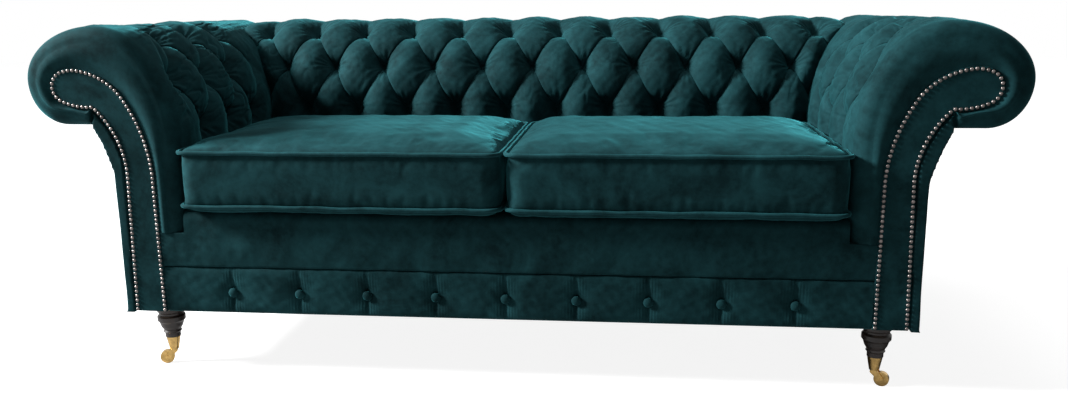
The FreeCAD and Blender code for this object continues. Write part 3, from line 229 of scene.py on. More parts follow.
def put_in(name, mesh, slot, body, *replaced):
    """Adds a piece with its finish, the body it rides on and the nodes it replaces."""
    piece = bpy.data.objects.new(name, mesh)
    bpy.context.scene.collection.objects.link(piece)
    mesh.materials.append(materials[slot])
    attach(piece, body)
    if replaced:
        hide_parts(*replaced)
    return piece


def grid_mesh(name, points, loop_rows=False, extra=()):
    """A smooth mesh from a grid of points (rows, columns, 3). Extra faces are lists of point numbers."""
    rows, columns = points.shape[:2]
    number = np.arange(rows * columns).reshape(rows, columns)
    if loop_rows:
        number = np.vstack([number, number[:1]])
    quads = np.stack([number[:-1, :-1], number[:-1, 1:], number[1:, 1:], number[1:, :-1]], axis=-1)
    mesh = bpy.data.meshes.new(name)
    mesh.from_pydata(points.reshape(-1, 3).tolist(), [], quads.reshape(-1, 4).tolist() + list(extra))
    mesh.polygons.foreach_set("use_smooth", [True] * len(mesh.polygons))
    tidy = bmesh.new()
    tidy.from_mesh(mesh)
    bmesh.ops.remove_doubles(tidy, verts=tidy.verts, dist=0.00002)
    bmesh.ops.dissolve_degenerate(tidy, edges=tidy.edges, dist=0.00001)
    bmesh.ops.recalc_face_normals(tidy, faces=tidy.faces)
    tidy.to_mesh(mesh)
    tidy.free()
    return mesh


def mesh_from(name, shape):
    """A smooth mesh from a bmesh, which is freed."""
    mesh = bpy.data.meshes.new(name)
    shape.to_mesh(mesh)
    shape.free()
    mesh.polygons.foreach_set("use_smooth", [True] * len(mesh.polygons))
    return mesh


def waves(points, size, seed):
    """A smooth uneven value between about -1 and 1 at each point, the same on every run."""
    chance = np.random.default_rng(seed)
    total = np.zeros(points.shape[:-1])
    for _ in range(9):
        direction = chance.normal(size=3)
        direction /= np.linalg.norm(direction)
        frequency = chance.uniform(0.6, 1.9) * 2 * math.pi / size
        total += np.sin(points @ direction * frequency + chance.uniform(0, 2 * math.pi))
    return total / 4.0


def creases(points, size, seed):
    """Thin lines, 1 along each and 0 elsewhere, that wander over the points."""
    line = waves(points, size, seed)
    patch = np.clip(0.35 + waves(points, size * 2.2, seed + 7), 0, 1)
    return np.exp(-((line / 0.16) ** 2)) * patch


# The padded roll: a point and its outward normal for each level of the section. Whole levels are the
# rows of the tufting: 2, 4 and 6 carry buttons, 8 is the crest, 15 the underside of the roll.

INNER_ANGLES = (4, 18.5, 33, 50, 67, 78.5, 90)
UPPER_ANGLES = (90, 66, 43, 21, 0)
LOWER_ANGLES = (0, -30, -60, -90)


def inner_run(height):
    """How far the inner face lies back at a height, up to the crest."""
    rise = np.clip((height - (crest - SWELL_DROP)) / SWELL_DROP, 0, 1)
    return CREST_RUN * (1 - np.sqrt(1 - rise**2))


def section(level):
    """Run and height of the section at each level, and the outward normal."""
    level = np.asarray(level, float)
    run = np.zeros_like(level)
    height = np.zeros_like(level)
    normal = np.zeros(level.shape + (2,))

    def arc(mask, levels, angles, centre, reach, outward):
        angle = np.radians(np.interp(level[mask], levels, angles))
        run[mask] = centre[0] + outward * reach[0] * np.cos(angle)
        height[mask] = centre[1] + reach[1] * np.sin(angle)
        normal[mask] = np.stack([outward * reach[1] * np.cos(angle), reach[0] * np.sin(angle)], axis=-1)

    swell = crest - SWELL_DROP
    first = swell + SWELL_DROP * math.sin(math.radians(INNER_ANGLES[0]))
    low = level < 2
    height[low] = np.interp(level[low], (0, 1, 2), (pad_low, PLEAT_HEIGHT, first))
    run[low] = inner_run(height[low])
    rise = np.clip((height[low] - swell) / SWELL_DROP, 0, 1)
    normal[low] = np.stack([-np.sqrt(1 - rise**2) * SWELL_DROP, rise * CREST_RUN], axis=-1)
    middle = crest - ROLL_DROP
    inner = (level >= 2) & (level <= 8)
    arc(inner, range(2, 9), INNER_ANGLES, (CREST_RUN, swell), (CREST_RUN, SWELL_DROP), -1)
    upper = (level > 8) & (level <= 12)
    reach = (arm_width - CREST_RUN, ROLL_DROP)
    arc(upper, range(8, 13), UPPER_ANGLES, (CREST_RUN, middle), reach, 1)
    lower = (level > 12) & (level <= 15)
    reach = (arm_width - ROLL_FLAT_RUN, middle - roll_low)
    arc(lower, range(12, 16), LOWER_ANGLES, (ROLL_FLAT_RUN, middle), reach, 1)
    flat = level > 15
    run[flat] = np.interp(level[flat], (15, 16, 17), (ROLL_FLAT_RUN, ROLL_END_RUN, CROOK_RUN))
    height[flat] = np.interp(level[flat], (15, 16, 17), (roll_low, roll_low, crest - CROOK_DROP))
    normal[flat] = (0, -1)
    normal /= np.linalg.norm(normal, axis=-1, keepdims=True)
    return run, height, normal


# Deep-buttoned tufting in steps of a quarter pitch along the roll and in levels up the section. Folds
# run along whole numbers of p = (step + lift) / 4 and q = (step - lift) / 4, and cross in the pits.

FOLD_SHARPNESS = 0.70
FOLD_HEIGHT = 0.46
LAP = 0.062
LAP_WIDTH = 0.11
PLEAT_LEVELS = (0, 1, 2, 6, 7, 8, 8.8, 9.6)
PLEAT_DEPTHS = (0.30, 0.50, 1, 1, 0.56, 0.26, 0.08, 0)


def fold(across):
    """0 on a fold line and 1 half way between two."""
    return np.abs(np.sin(np.pi * across)) ** FOLD_SHARPNESS


def tufts(step, level, front_step=None):
    """Fullness from 0 in a pit to 1 on a crown, and how far each point laps over a fold in p and q."""
    lift = np.clip(level - 4, -2, 2)
    p = (step + lift) / 4
    q = (step - lift) / 4
    first, second = fold(p), fold(q)
    lap_p = lap(p % 1) * second
    lap_q = lap(1 - q % 1) * first
    if front_step is not None:
        ahead = np.maximum(front_step / 4 - np.minimum(p, q), 0)
        plain = np.clip(ahead / 0.5, 0, 1)
        plain = plain * plain * (3 - 2 * plain)
        edge = fold(np.minimum(ahead, 0.5))
        first = np.where(ahead > 0, np.maximum(np.where(p < q, edge, first), plain), first)
        second = np.where(ahead > 0, np.maximum(np.where(p < q, second, edge), plain), second)
        lap_p = lap_p * (ahead == 0)
        lap_q = lap_q * (ahead == 0)
    full = first * second + FOLD_HEIGHT * (first + second - 2 * first * second)
    inside = np.clip(1.15 - np.abs(level - 4) / 2, 0, 0.15) / 0.15
    return full, lap_p * inside, lap_q * inside


def lap(beyond):
    """Cloth just above a fold hangs down over it, most a little way off the line."""
    near = beyond / LAP_WIDTH
    return LAP * near * np.exp(1 - near)


def around_pits(base, outward, drop, pits, seed):
    """How far each point is drawn down into the nearest pit, and the small puckers that run out from it."""
    chance = np.random.default_rng(seed)
    points = base - outward * drop[..., None]
    funnel = np.zeros(drop.shape)
    total = np.zeros(drop.shape)
    for pit, normal in pits:
        side = np.cross(normal, (0.0, 0.0, 1.0))
        side /= np.linalg.norm(side)
        up = np.cross(side, normal)
        away = points - pit
        across, rise = away @ side, away @ up
        reach = np.hypot(across, rise)
        angle = np.arctan2(rise, across)
        funnel = np.maximum(funnel, np.exp(-((reach / PIT_REACH) ** 1.6)))
        count = chance.integers(13, 18)
        turn = chance.uniform(0, 6.28)
        strength = 0.55 + 0.45 * np.sin(angle * 2 + chance.uniform(0, 6.28))
        pucker = np.cos(angle * count + turn + 1.5 * np.sin(angle * 3 + turn)) * np.exp(-reach / 0.019)
        total += pucker * strength * (1 - np.exp(-((reach / 0.014) ** 2)))
    return funnel, total


def tufted(step, level, place, share, pits, front_step=None, seed=1, crease=0.0012):
    """A tufted roll at a grid of steps and levels: points of the plain roll, its outward directions and how
    far each point drops. Place turns step, run and height into a point."""
    full, lap_p, lap_q = tufts(step, level, front_step)
    moved_step = step + (lap_q - lap_p) * 4 * share
    moved_level = level - (lap_p + lap_q) * 4 * share * (level > 1.5)
    run, height, normal = section(moved_level)
    base = place(moved_step, run, height)
    outward = place(moved_step, run + normal[..., 0], height + normal[..., 1]) - base
    pleats = np.interp(level, PLEAT_LEVELS, PLEAT_DEPTHS)
    drop = TUFT_DEPTH * pleats * share * (1 - full) - CROWN_RISE * share * full * pleats
    drop -= 0.0020 * waves(base, 0.16, seed) * np.clip(full, 0.2, 1)
    drop -= 0.0007 * waves(base, 0.035, seed + 1)
    stretch = base * (1.0, 0.45, 1.0) if front_step is not None else base * (1.0, 1.0, 0.45)
    creased = np.interp(level, (1, 2.5, 8, 10), (0.4, 1, 1, 0))
    drop += crease * creases(stretch, 0.050, seed + 4) * share * creased
    funnel, pucker = around_pits(base, outward, drop, pits, seed + 2)
    return base, outward, drop + PIT_DEPTH * funnel - PUCKER * pucker


def button_mesh(name, pits):
    """Covered buttons, each a low dome drawn down into its pit."""
    shape = bmesh.new()
    for pit, normal in pits:
        turn = Vector((0, 0, 1)).rotation_difference(Vector(normal)).to_matrix().to_4x4()
        middle = Matrix.Translation(Vector(pit) + Vector(normal) * BUTTON_LIFT)
        place = middle @ turn @ Matrix.Diagonal((1, 1, BUTTON_FLATNESS, 1))
        bmesh.ops.create_uvsphere(shape, u_segments=20, v_segments=12, radius=BUTTON_RADIUS, matrix=place)
    return mesh_from(name, shape)


def pit_list(steps_and_levels, place):
    """Where each button sits and which way it faces."""
    pits = []
    for step, level in steps_and_levels:
        run, height, normal = section(np.array([float(level)]))
        base = place(np.array([float(step)]), run, height)[0]
        outward = place(np.array([float(step)]), run + normal[:, 0], height + normal[:, 1])[0] - base
        pits.append((base - outward * (TUFT_DEPTH + PIT_DEPTH), outward))
    return pits


# Back

BACK_LAST_STEPS = {2: 18, 4: 20, 6: 22}


def back_place(step, run, height):
    return np.stack(np.broadcast_arrays(step * BACK_PITCH / 4, back_face + run, height), axis=-1)


def make_back():
    rows = [(step, level) for level, last in BACK_LAST_STEPS.items() for step in range(-last, last + 1, 4)]
    pits = pit_list(rows, back_place)
    levels = np.concatenate([np.linspace(0, 2, 56), np.linspace(2, 8, 170)[1:], np.linspace(8, 17, 60)[1:]])
    half = np.concatenate([np.linspace(0, 0.9, 210), np.linspace(0.9, 1, 40)[1:]])
    share = np.concatenate([-half[:0:-1], half])
    run, height, normal = section(levels)
    limit = arm_face + inner_run(height) - 0.0004
    x = share[None, :] * limit[:, None]
    step = x / (BACK_PITCH / 4)
    level = np.broadcast_to(levels[:, None], step.shape)
    base, outward, drop = tufted(step, level, back_place, 1.0, pits, seed=11)
    room = limit[:, None] - np.abs(x)
    crease = 0.026 * np.clip(1 - room / 0.045, 0, 1) ** 2
    valley = np.interp(np.abs(x), (0.79, 0.84, 0.875, 0.93), (0, 0.012, 0.026, 0.045)) * (level > 4)
    points = base - outward * (drop + np.maximum(crease, valley))[..., None]
    points[..., 1] = np.minimum(points[..., 1], sofa_rear + 0.006)
    mesh = grid_mesh("back_pad_cover", points)
    put_in("back_pad_cover", mesh, "velvet", "sofa_frame", "back_pad")
    mesh = button_mesh("back_button_covers", pits)
    put_in("back_button_covers", mesh, "velvet_buttons", "sofa_frame", "back_buttons")


make_back()


# Arms

ARM_PITS = [(-4, 4), (0, 4), (4, 4), (-2, 2), (2, 2), (6, 2), (-2, 6), (2, 6), (6, 6)]
ARM_FRONT_STEP = -4
END_RADIUS = 0.034
CORNER_RADIUS = 0.08
FACE_BULGE = 0.006
ARM_CREASE = 0.0042


def scroll_line():
    """Points along the facing's edge, from the foot of its inner edge over the head to the crook."""
    panel = frame["nodes"]["facing_panel_right"].data
    edge = np.array([v.co for v in panel.vertices if abs(v.co.y - front_plane) < 0.0001])
    edge = np.unique(np.round(edge[:, [0, 2]], 6), axis=0) - (arm_face, 0)
    head_middle = (0.20, crest - 0.145)
    rim = edge[edge[:, 1] > crest - CROOK_DROP - 0.001]
    turn = np.arctan2(rim[:, 1] - head_middle[1], rim[:, 0] - head_middle[0]) - math.radians(230)
    order = np.argsort(-(turn % (2 * math.pi)))
    inner = edge[(edge[:, 0] < 0.1) & (edge[:, 1] < crest - CROOK_DROP - 0.001)]
    inner = inner[np.argsort(inner[:, 1])]
    inner = inner[inner[:, 1] > pad_low]
    return np.vstack([[inner[0][0], pad_low], inner, rim[order]])


def along(line, shares):
    """Points at shares of the length of a line."""
    lengths = np.concatenate([[0], np.cumsum(np.linalg.norm(np.diff(line, axis=0), axis=1))])
    return np.stack([np.interp(shares * lengths[-1], lengths, line[:, axis]) for axis in (0, 1)], axis=-1)


def matched(line, outer):
    """For each outer point the nearest share of the line, kept in order along it."""
    shares = np.linspace(0, 1, 600)
    fine = along(line, shares)
    nearest = np.linalg.norm(outer[:, None] - fine[None], axis=-1).argmin(axis=1)
    ordered = shares[np.maximum.accumulate(nearest)]
    kernel = np.ones(9) / 9
    smooth = np.convolve(np.pad(ordered, 4, mode="edge"), kernel, mode="valid")
    smooth[0], smooth[-1] = 0, 1
    return along(line, smooth)


def make_arm(side):
    direction = 1 if side == "right" else -1

    def spot(run, depth, height):
        return np.stack(np.broadcast_arrays(direction * (arm_face + run), depth, height), axis=-1)

    def place(step, run, height):
        distance = ARM_TUFT_START + step * ARM_PITCH / 4
        return spot(run, front_plane + distance, height)

    seed = 31 if side == "right" else 57
    pits = pit_list(ARM_PITS, place)
    levels = np.concatenate([np.linspace(0, 2, 46), np.linspace(2, 8, 150)[1:], np.linspace(8, 17, 64)[1:]])
    length = sofa_rear - front_plane
    rear_part = np.linspace(0.6, length - CORNER_RADIUS, 40)[1:]
    distance = np.concatenate([np.linspace(END_RADIUS, 0.6, 160), rear_part])
    steps = (distance - ARM_TUFT_START) / (ARM_PITCH / 4)
    step = np.broadcast_to(steps[None, :], (len(levels), len(steps)))
    level = np.broadcast_to(levels[:, None], step.shape)
    share = np.clip((8.6 - step) / 1.6, 0, 1)
    base, outward, drop = tufted(step, level, place, share, pits, ARM_FRONT_STEP, seed, ARM_CREASE)
    fade = np.clip((distance - END_RADIUS) / 0.03, 0, 1)
    body = base - outward * (drop * fade[None, :])[..., None]

    run, height, normal = section(levels)
    columns = []
    rim = np.stack([run, height], axis=-1)
    line = scroll_line()
    facing = matched(line, rim)
    rounding = normal * np.clip((17 - levels) / 1.6, 0, 1)[:, None]
    inner_edge = rim - rounding * END_RADIUS
    for t in (1, 0.93, 0.82, 0.68, 0.52, 0.36, 0.2, 0.08):
        flat = inner_edge * (1 - t) + facing * t
        forward = FACE_BULGE * math.sin(math.pi * min(t * 1.1, 1)) - 0.002 * t
        columns.append(spot(flat[:, 0], front_plane - forward, flat[:, 1]))
    for angle in np.radians((90, 78, 66, 54, 42, 30, 18, 8)):
        ring = rim - rounding * END_RADIUS * (1 - math.cos(angle))
        back = END_RADIUS * (1 - math.sin(angle))
        columns.append(spot(ring[:, 0], front_plane + back, ring[:, 1]))
    front = np.stack(columns, axis=1)

    columns = []
    for angle in np.radians((12, 26, 40, 54, 68, 80, 90)):
        ring = rim - normal * CORNER_RADIUS * (1 - math.cos(angle))
        back = CORNER_RADIUS * (1 - math.sin(angle))
        columns.append(spot(ring[:, 0], sofa_rear - back, ring[:, 1]))
    middle = np.array([direction * (arm_face + CREST_RUN), sofa_rear, crest - ROLL_DROP])
    last = columns[-1]
    for t in (0.25, 0.5, 0.75, 1):
        flat = last * (1 - t) + middle * t
        flat[:, 1] = sofa_rear + 0.004 * math.sin(math.pi / 2 * t)
        columns.append(flat)
    rear = np.stack(columns, axis=1)

    points = np.concatenate([front, body, rear], axis=1)
    behind = points[..., 1] > arm_rear
    points[..., 2] = np.where(behind, np.maximum(points[..., 2], roll_low), points[..., 2])
    rows, count = points.shape[:2]
    under = []
    for column in range(count - 1):
        if behind[0, column] and behind[0, column + 1]:
            last_row = (rows - 1) * count
            under.append([column, last_row + column, last_row + column + 1, column + 1])
    mesh = grid_mesh(f"arm_pad_cover_{side}", points, extra=under)
    replaced = f"arm_pad_{side}", f"corner_roll_{side}"
    put_in(f"arm_pad_cover_{side}", mesh, "velvet", "sofa_frame", *replaced)
    mesh = button_mesh(f"arm_button_covers_{side}", pits)
    put_in(f"arm_button_covers_{side}", mesh, "velvet_buttons", "sofa_frame", f"arm_buttons_{side}")


make_arm("left")
make_arm("right")


# Nailheads: a dome over each of the frame's plain heads


def make_nails(side):
    heads = frame["nodes"][f"facing_nails_{side}"]
    low = min(v.co.y for v in heads.data.vertices)
    front = [v.co for v in heads.data.vertices if v.co.y < low + 0.0002]
    tips = {tuple(round(value, 4) for value in co) for co in front}
    shape = bmesh.new()
    for tip in sorted(tips):
        middle = Matrix.Translation((tip[0], front_plane - 0.0002, tip[2]))
        place = middle @ Matrix.Diagonal((1, NAIL_FLATNESS, 1, 1))
        bmesh.ops.create_uvsphere(shape, u_segments=12, v_segments=8, radius=NAIL_RADIUS, matrix=place)
    put_in(f"nail_domes_{side}", mesh_from(f"nail_domes_{side}", shape), "nailheads", "sofa_frame")


make_nails("left")
make_nails("right")


# Seat cushions

PIPING_HEIGHTS = (0.412, 0.535)
PIPING_RADIUS = 0.0046
CUSHION_CORNER = 0.020
CUSHION_VOXEL = 0.0065
CUSHION_UNDERSIDE = 0.3953
SWELL_CAP = 0.0055
SEAM_OFFSET = 0.006


def cushion_outline(side, inset, height, corner, count):
    """Points round a cushion with rounded corners."""
    low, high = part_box(f"seat_piping_{side}")
    low_x, high_x = low.x + inset + corner, high.x - inset - corner
    low_y, high_y = low.y + inset + corner, high.y - inset - corner
    centres = [(high_x, high_y), (low_x, high_y), (low_x, low_y), (high_x, low_y)]
    path = []
    for quarter, (x, y) in enumerate(centres):
        for angle in np.linspace(0, math.pi / 2, 9) + quarter * math.pi / 2:
            path.append((x + corner * math.cos(angle), y + corner * math.sin(angle)))
    path = np.array(path + path[:1])
    ring = along(path, np.arange(count) / count)
    return np.column_stack([ring, np.full(count, height)])


CUSHION_RINGS = [
    (0.20, 0.3955), (0.040, 0.3955), (0.026, 0.3957), (0.0145, 0.4005), (0.0085, 0.412),
    (0.0095, 0.440), (0.0095, 0.4735), (0.0095, 0.507), (0.0095, 0.535),
    (0.018, 0.5425), (0.035, 0.5485), (0.06, 0.5540), (0.118, 0.5628), (0.17, 0.5668), (0.224, 0.5686),
]


def make_cushion(side):
    count = 200
    rings = [cushion_outline(side, inset, height, CUSHION_CORNER, count) for inset, height in CUSHION_RINGS]
    points = np.array(rings)
    points = np.concatenate([points, points[:, :1]], axis=1)
    caps = [list(range(count)), [(len(rings) - 1) * (count + 1) + i for i in range(count)]]
    mesh = grid_mesh(f"seat_cushion_cover_{side}", points, extra=caps)
    body, node = f"cushion_{side}", f"seat_cushion_{side}"
    piece = put_in(f"seat_cushion_cover_{side}", mesh, "velvet_cushion", body, node)
    make_even(piece, CUSHION_VOXEL)
    swell(piece, side)
    make_piping(side)


def apply_modifier(piece, modifier):
    """Makes a modifier's result the piece's own mesh."""
    bpy.ops.object.select_all(action="DESELECT")
    piece.select_set(True)
    bpy.context.view_layer.objects.active = piece
    bpy.ops.object.modifier_apply(modifier=modifier.name)


def make_even(piece, size):
    """Remeshes a piece into even faces."""
    remesh = piece.modifiers.new("even", "REMESH")
    remesh.mode = "VOXEL"
    remesh.voxel_size = size
    remesh.use_smooth_shade = True
    apply_modifier(piece, remesh)


def soften(piece, iterations):
    soft = piece.modifiers.new("soft", "SMOOTH")
    soft.factor = 0.5
    soft.iterations = iterations
    apply_modifier(piece, soft)


def swell(piece, side):
    """Lets the cover fill out under pressure between its piped seams."""
    mesh = piece.data
    rest = np.array([v.co for v in mesh.vertices])
    seed = 5 if side == "left" else 9
    uneven = waves(rest, 0.11, seed) * 0.0016 + waves(rest, 0.04, seed + 3) * 0.0007
    near_seam = np.minimum(*[np.abs(rest[:, 2] - height) for height in PIPING_HEIGHTS])
    low, high = rest.min(0), rest.max(0)
    gaps = [rest[:, 0] - low[0], high[0] - rest[:, 0], rest[:, 1] - low[1], high[1] - rest[:, 1]]
    edge = np.minimum.reduce(gaps)
    on_seam = (near_seam < 0.005) & (edge < 0.012)
    rest[:, 2] += uneven * (~on_seam)
    mesh.vertices.foreach_set("co", rest.ravel())
    held = piece.vertex_groups.new(name="seams")
    held.add(np.nonzero(on_seam)[0].tolist(), 1.0, "REPLACE")
    resting = (rest[:, 2] < 0.402) & (edge > 0.05)
    held.add(np.nonzero(resting)[0].tolist(), 1.0, "REPLACE")
    cloth = piece.modifiers.new("filling", "CLOTH")
    settings = cloth.settings
    settings.quality = 5
    settings.mass = 0.35
    settings.tension_stiffness = 18
    settings.compression_stiffness = 18
    settings.shear_stiffness = 8
    settings.bending_stiffness = 0.35
    settings.use_pressure = True
    settings.uniform_pressure_force = 5.0
    settings.vertex_group_mass = "seams"
    settings.effector_weights.gravity = 0
    settings.shrink_min = -0.015
    cloth.collision_settings.use_collision = False
    scene = bpy.context.scene
    for frame_number in range(1, 21):
        scene.frame_set(frame_number)
    apply_modifier(piece, cloth)
    scene.frame_set(1)
    found = np.array([v.co for v in mesh.vertices])
    shift = found - rest
    reach = np.linalg.norm(shift, axis=1, keepdims=True)
    shift *= np.minimum(1, SWELL_CAP / np.maximum(reach, 1e-9))
    shift[rest[:, 2] < PIPING_HEIGHTS[0] - 0.001] = 0
    found = rest + shift
    top = rest[:, 2] > PIPING_HEIGHTS[1] - 0.002
    found[top, 2] = np.maximum(found[top, 2], rest[top, 2])
    box_low, box_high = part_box(f"seat_piping_{side}")
    found[:, 0] = np.clip(found[:, 0], box_low.x + 0.003, box_high.x - 0.003)
    found[:, 1] = np.clip(found[:, 1], box_low.y - 0.004, box_high.y - 0.002)
    found[:, 2] = np.clip(found[:, 2], CUSHION_UNDERSIDE, None)
    mesh.vertices.foreach_set("co", found.ravel())
    soften(piece, 3)
    smooth = piece.modifiers.new("smooth", "SUBSURF")
    smooth.levels = smooth.render_levels = 1
    apply_modifier(piece, smooth)


def make_piping(side):
    """Self-piping round the top and bottom seams."""
    count = 240
    sides = 10
    both = bmesh.new()
    for height in PIPING_HEIGHTS:
        rings = []
        for turn in range(sides):
            angle = 2 * math.pi * turn / sides
            out = PIPING_RADIUS * math.cos(angle)
            corner = CUSHION_CORNER + SEAM_OFFSET + out
            ring = cushion_outline(side, PIPING_RADIUS - out, height, corner, count)
            ring[:, 2] += PIPING_RADIUS * math.sin(angle) + 0.0010 * waves(ring, 0.09, 3)
            rings.append(np.vstack([ring, ring[:1]]))
        both.from_mesh(grid_mesh("piping", np.array(rings), loop_rows=True))
    mesh = mesh_from(f"seat_piping_cover_{side}", both)
    put_in(f"seat_piping_cover_{side}", mesh, "velvet_piping", f"cushion_{side}", f"seat_piping_{side}")


make_cushion("left")
make_cushion("right")


# Front border: a padded band with a row of buttons and short pleats above and below each

BORDER_PITCH = (arm_face - 0.105) / 4
BORDER_BUTTON_HEIGHT = 0.202


def make_border():
    low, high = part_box("front_border")
    columns = np.linspace(low.x, high.x, 1300)
    rise = np.linspace(0, 1, 40)
    x, t = np.meshgrid(columns, rise)
    z = low.z + (high.z - low.z) * t
    round_edge = np.sqrt(np.clip(1 - (2 * t - 1) ** 6, 0, 1))
    y = high.y - 0.0095 - 0.0095 * round_edge
    points = np.stack([x, y, z], axis=-1)
    offset = x / BORDER_PITCH
    beside = (offset - np.round(offset)) * BORDER_PITCH
    beside = np.where(np.abs(offset) > 4.5, 1.0, beside)
    above = z - BORDER_BUTTON_HEIGHT
    reach = np.hypot(beside, above)
    pit = 0.0100 * np.exp(-((reach / 0.022) ** 1.3))
    pleat = 0.0085 * np.exp(-np.abs(beside) / (0.0035 + 0.10 * np.abs(above)))
    pleat *= np.exp(-np.abs(above) / 0.06)
    fine = 0.0011 * np.cos(2 * math.pi * beside / 0.0068) * np.exp(-np.abs(beside) / 0.014)
    fine *= np.exp(-np.abs(above) / 0.05) * (1 - np.exp(-np.abs(above) / 0.012))
    points[..., 1] += (pit + pleat - fine) * round_edge
    points[..., 1] += (0.0011 * waves(points, 0.10, 21) + 0.0005 * waves(points, 0.03, 22)) * round_edge
    behind = np.stack([points[-1], points[0]])
    behind[..., 1] = high.y
    points = np.concatenate([points, behind])
    mesh = grid_mesh("front_border_cover", points, loop_rows=True)
    put_in("front_border_cover", mesh, "velvet", "sofa_frame", "front_border")
    face = high.y - 0.019
    places = [(place * BORDER_PITCH, face + 0.0075, BORDER_BUTTON_HEIGHT) for place in range(-4, 5)]
    pits = [(place, (0.0, -1.0, 0.0)) for place in places]
    mesh = button_mesh("border_button_covers", pits)
    put_in("border_button_covers", mesh, "velvet_buttons", "sofa_frame", "border_buttons")


make_border()


# Lip under the cushions, seat platform and the plain upholstered panels

LIP_RADIUS = 0.020
LIP_STRIP_TOP = 0.3447


def make_lip():
    low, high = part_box("front_lip")
    inner = arm_face - SEAM_GAP
    front = low.y + 0.001
    joined = bmesh.new()
    stretches = [(-inner, inner, high.z, LIP_RADIUS, 220)]
    stretches += [(start, end, LIP_STRIP_TOP, 0.0, 12) for start, end in ((low.x, -inner), (inner, high.x))]
    for start, end, top, radius, count in stretches:
        profile = [(front, low.z + (top - radius - low.z) * t) for t in np.linspace(0, 1, 26)]
        for angle in np.radians(np.linspace(10, 90, 9)):
            profile.append((front + radius * (1 - math.cos(angle)), top - radius * (1 - math.sin(angle))))
        profile += [(front + radius + (high.y - front - radius) * t, top) for t in np.linspace(0.15, 1, 8)]
        profile.append((high.y, low.z))
        depth, height = np.array(profile).T
        x, y = np.meshgrid(np.linspace(start, end, count), depth)
        z = np.broadcast_to(height[:, None], x.shape)
        points = np.stack([x, y, z], axis=-1)
        full = 0.0028 * np.sin(math.pi * (z - low.z) / (high.z - low.z))
        soft = 0.0009 * waves(points, 0.12, 41) + 0.0004 * waves(points, 0.035, 42)
        points[:-9, :, 1] += (soft - full)[:-9]
        joined.from_mesh(grid_mesh("lip", points, loop_rows=True))
    mesh = mesh_from("front_lip_cover", joined)
    put_in("front_lip_cover", mesh, "velvet", "sofa_frame", "front_lip")


def make_cover(node, slot, size, seed):
    """A cover over a plain piece: the piece's shape with soft edges and the slight unevenness of cloth."""
    mesh = frame["nodes"][node].data.copy()
    mesh.name = f"{node}_cover"
    mesh.materials.clear()
    piece = put_in(f"{node}_cover", mesh, slot, "sofa_frame", node)
    make_even(piece, size)
    soften(piece, 2)
    points = np.array([v.co for v in mesh.vertices])
    normals = np.array([v.normal for v in mesh.vertices])
    uneven = 0.0006 * waves(points, 0.11, seed) - 0.0004
    mesh.vertices.foreach_set("co", (points + normals * uneven[:, None]).ravel())
    mesh.update()


make_lip()
make_cover("seat_platform", "foam", 0.008, 51)
make_cover("outside_back_panel", "velvet", 0.005, 52)
for side in ("left", "right"):
    make_cover(f"outside_arm_panel_{side}", "velvet", 0.005, 53)
    make_cover(f"facing_panel_{side}", "velvet", 0.003, 54)


# Stage: floor, lamps and the camera at the photograph's angle


def make_floor():
    bpy.ops.mesh.primitive_plane_add(size=24, location=(0, 0, 0))
    floor = bpy.context.object
    floor.name = "floor"
    material, nodes, links = new_material("floor")
    surface = nodes["Principled BSDF"]
    surface.inputs["Base Color"].default_value = (0.35, 0.35, 0.35, 1)
    surface.inputs["Roughness"].default_value = 0.9
    glow = nodes.new("ShaderNodeEmission")
    glow.inputs["Strength"].default_value = 0.88
    rays = nodes.new("ShaderNodeLightPath")
    seen = nodes.new("ShaderNodeMixShader")
    links.new(rays.outputs["Is Camera Ray"], seen.inputs["Fac"])
    both = nodes.new("ShaderNodeAddShader")
    links.new(surface.outputs[0], both.inputs[0])
    links.new(glow.outputs[0], both.inputs[1])
    links.new(surface.outputs[0], seen.inputs[1])
    links.new(both.outputs[0], seen.inputs[2])
    links.new(seen.outputs[0], nodes["Material Output"].inputs["Surface"])
    floor.data.materials.append(material)


def lamp(name, place, aim, width, height, power):
    light = bpy.data.lights.new(name, "AREA")
    light.shape = "RECTANGLE"
    light.size = width
    light.size_y = height
    light.energy = power
    holder = bpy.data.objects.new(name, light)
    holder.location = place
    holder.rotation_euler = (Vector(aim) - Vector(place)).to_track_quat("-Z", "Y").to_euler()
    bpy.context.scene.collection.objects.link(holder)


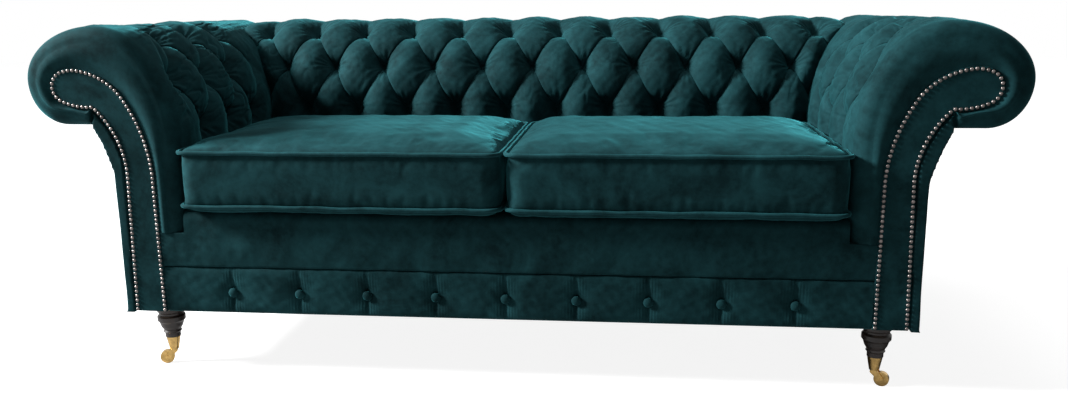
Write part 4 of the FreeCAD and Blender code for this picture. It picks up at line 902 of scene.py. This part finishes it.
def make_world():
    """Plain studio surroundings that look white where the camera and shiny surfaces see them."""
    world = bpy.data.worlds.new("studio")
    bpy.context.scene.world = world
    world.use_nodes = True
    nodes, links = world.node_tree.nodes, world.node_tree.links
    fill = nodes["Background"]
    fill.inputs["Color"].default_value = (1, 1, 1, 1)
    fill.inputs["Strength"].default_value = 0.06
    white = nodes.new("ShaderNodeBackground")
    white.inputs["Strength"].default_value = 1.0
    white.inputs["Color"].default_value = (1, 1, 1, 1)
    rays = nodes.new("ShaderNodeLightPath")
    seen = nodes.new("ShaderNodeMath")
    seen.operation = "MAXIMUM"
    either = nodes.new("ShaderNodeMath")
    either.operation = "MAXIMUM"
    links.new(rays.outputs["Is Camera Ray"], seen.inputs[0])
    links.new(rays.outputs["Is Glossy Ray"], seen.inputs[1])
    links.new(seen.outputs[0], either.inputs[0])
    links.new(rays.outputs["Is Transmission Ray"], either.inputs[1])
    mix = nodes.new("ShaderNodeMixShader")
    links.new(either.outputs[0], mix.inputs["Fac"])
    links.new(fill.outputs[0], mix.inputs[1])
    links.new(white.outputs[0], mix.inputs[2])
    links.new(mix.outputs[0], nodes["World Output"].inputs["Surface"])


CAMERA_PLACE = Vector((0.2834, -2.4255, 0.852))
CAMERA_YAW = math.radians(6.196)
CAMERA_PITCH = math.radians(12.068)
CAMERA_ROLL = math.radians(-0.549)
CAMERA_LENS = 31.43


def make_camera():
    ahead = Vector((-math.sin(CAMERA_YAW), math.cos(CAMERA_YAW), 0))
    right = Vector((math.cos(CAMERA_YAW), math.sin(CAMERA_YAW), 0))
    up = Vector((0, 0, 1))
    forward = ahead * math.cos(CAMERA_PITCH) - up * math.sin(CAMERA_PITCH)
    above = ahead * math.sin(CAMERA_PITCH) + up * math.cos(CAMERA_PITCH)
    side = right * math.cos(CAMERA_ROLL) + above * math.sin(CAMERA_ROLL)
    top = above * math.cos(CAMERA_ROLL) - right * math.sin(CAMERA_ROLL)
    turn = Matrix((side, top, -forward)).transposed().to_4x4()
    lens = bpy.data.cameras.new("camera")
    lens.lens = CAMERA_LENS
    lens.sensor_width = 36
    lens.clip_start = 0.05
    camera = bpy.data.objects.new("camera", lens)
    camera.matrix_world = Matrix.Translation(CAMERA_PLACE) @ turn
    bpy.context.scene.collection.objects.link(camera)
    bpy.context.scene.camera = camera


make_floor()
make_world()
lamp("key", (-6.4, -1.3, 3.9), (0.3, 0, 0.5), 1.6, 1.6, 2150)
lamp("top", (0.2, 0.1, 3.4), (0.1, 0, 0.5), 2.0, 1.2, 40)
lamp("front", (-1.6, -4.0, 1.6), (0, 0, 0.4), 1.6, 1.2, 4)
make_camera()
bpy.context.scene.view_settings.view_transform = "Standard"

bpy.context.view_layer.update()
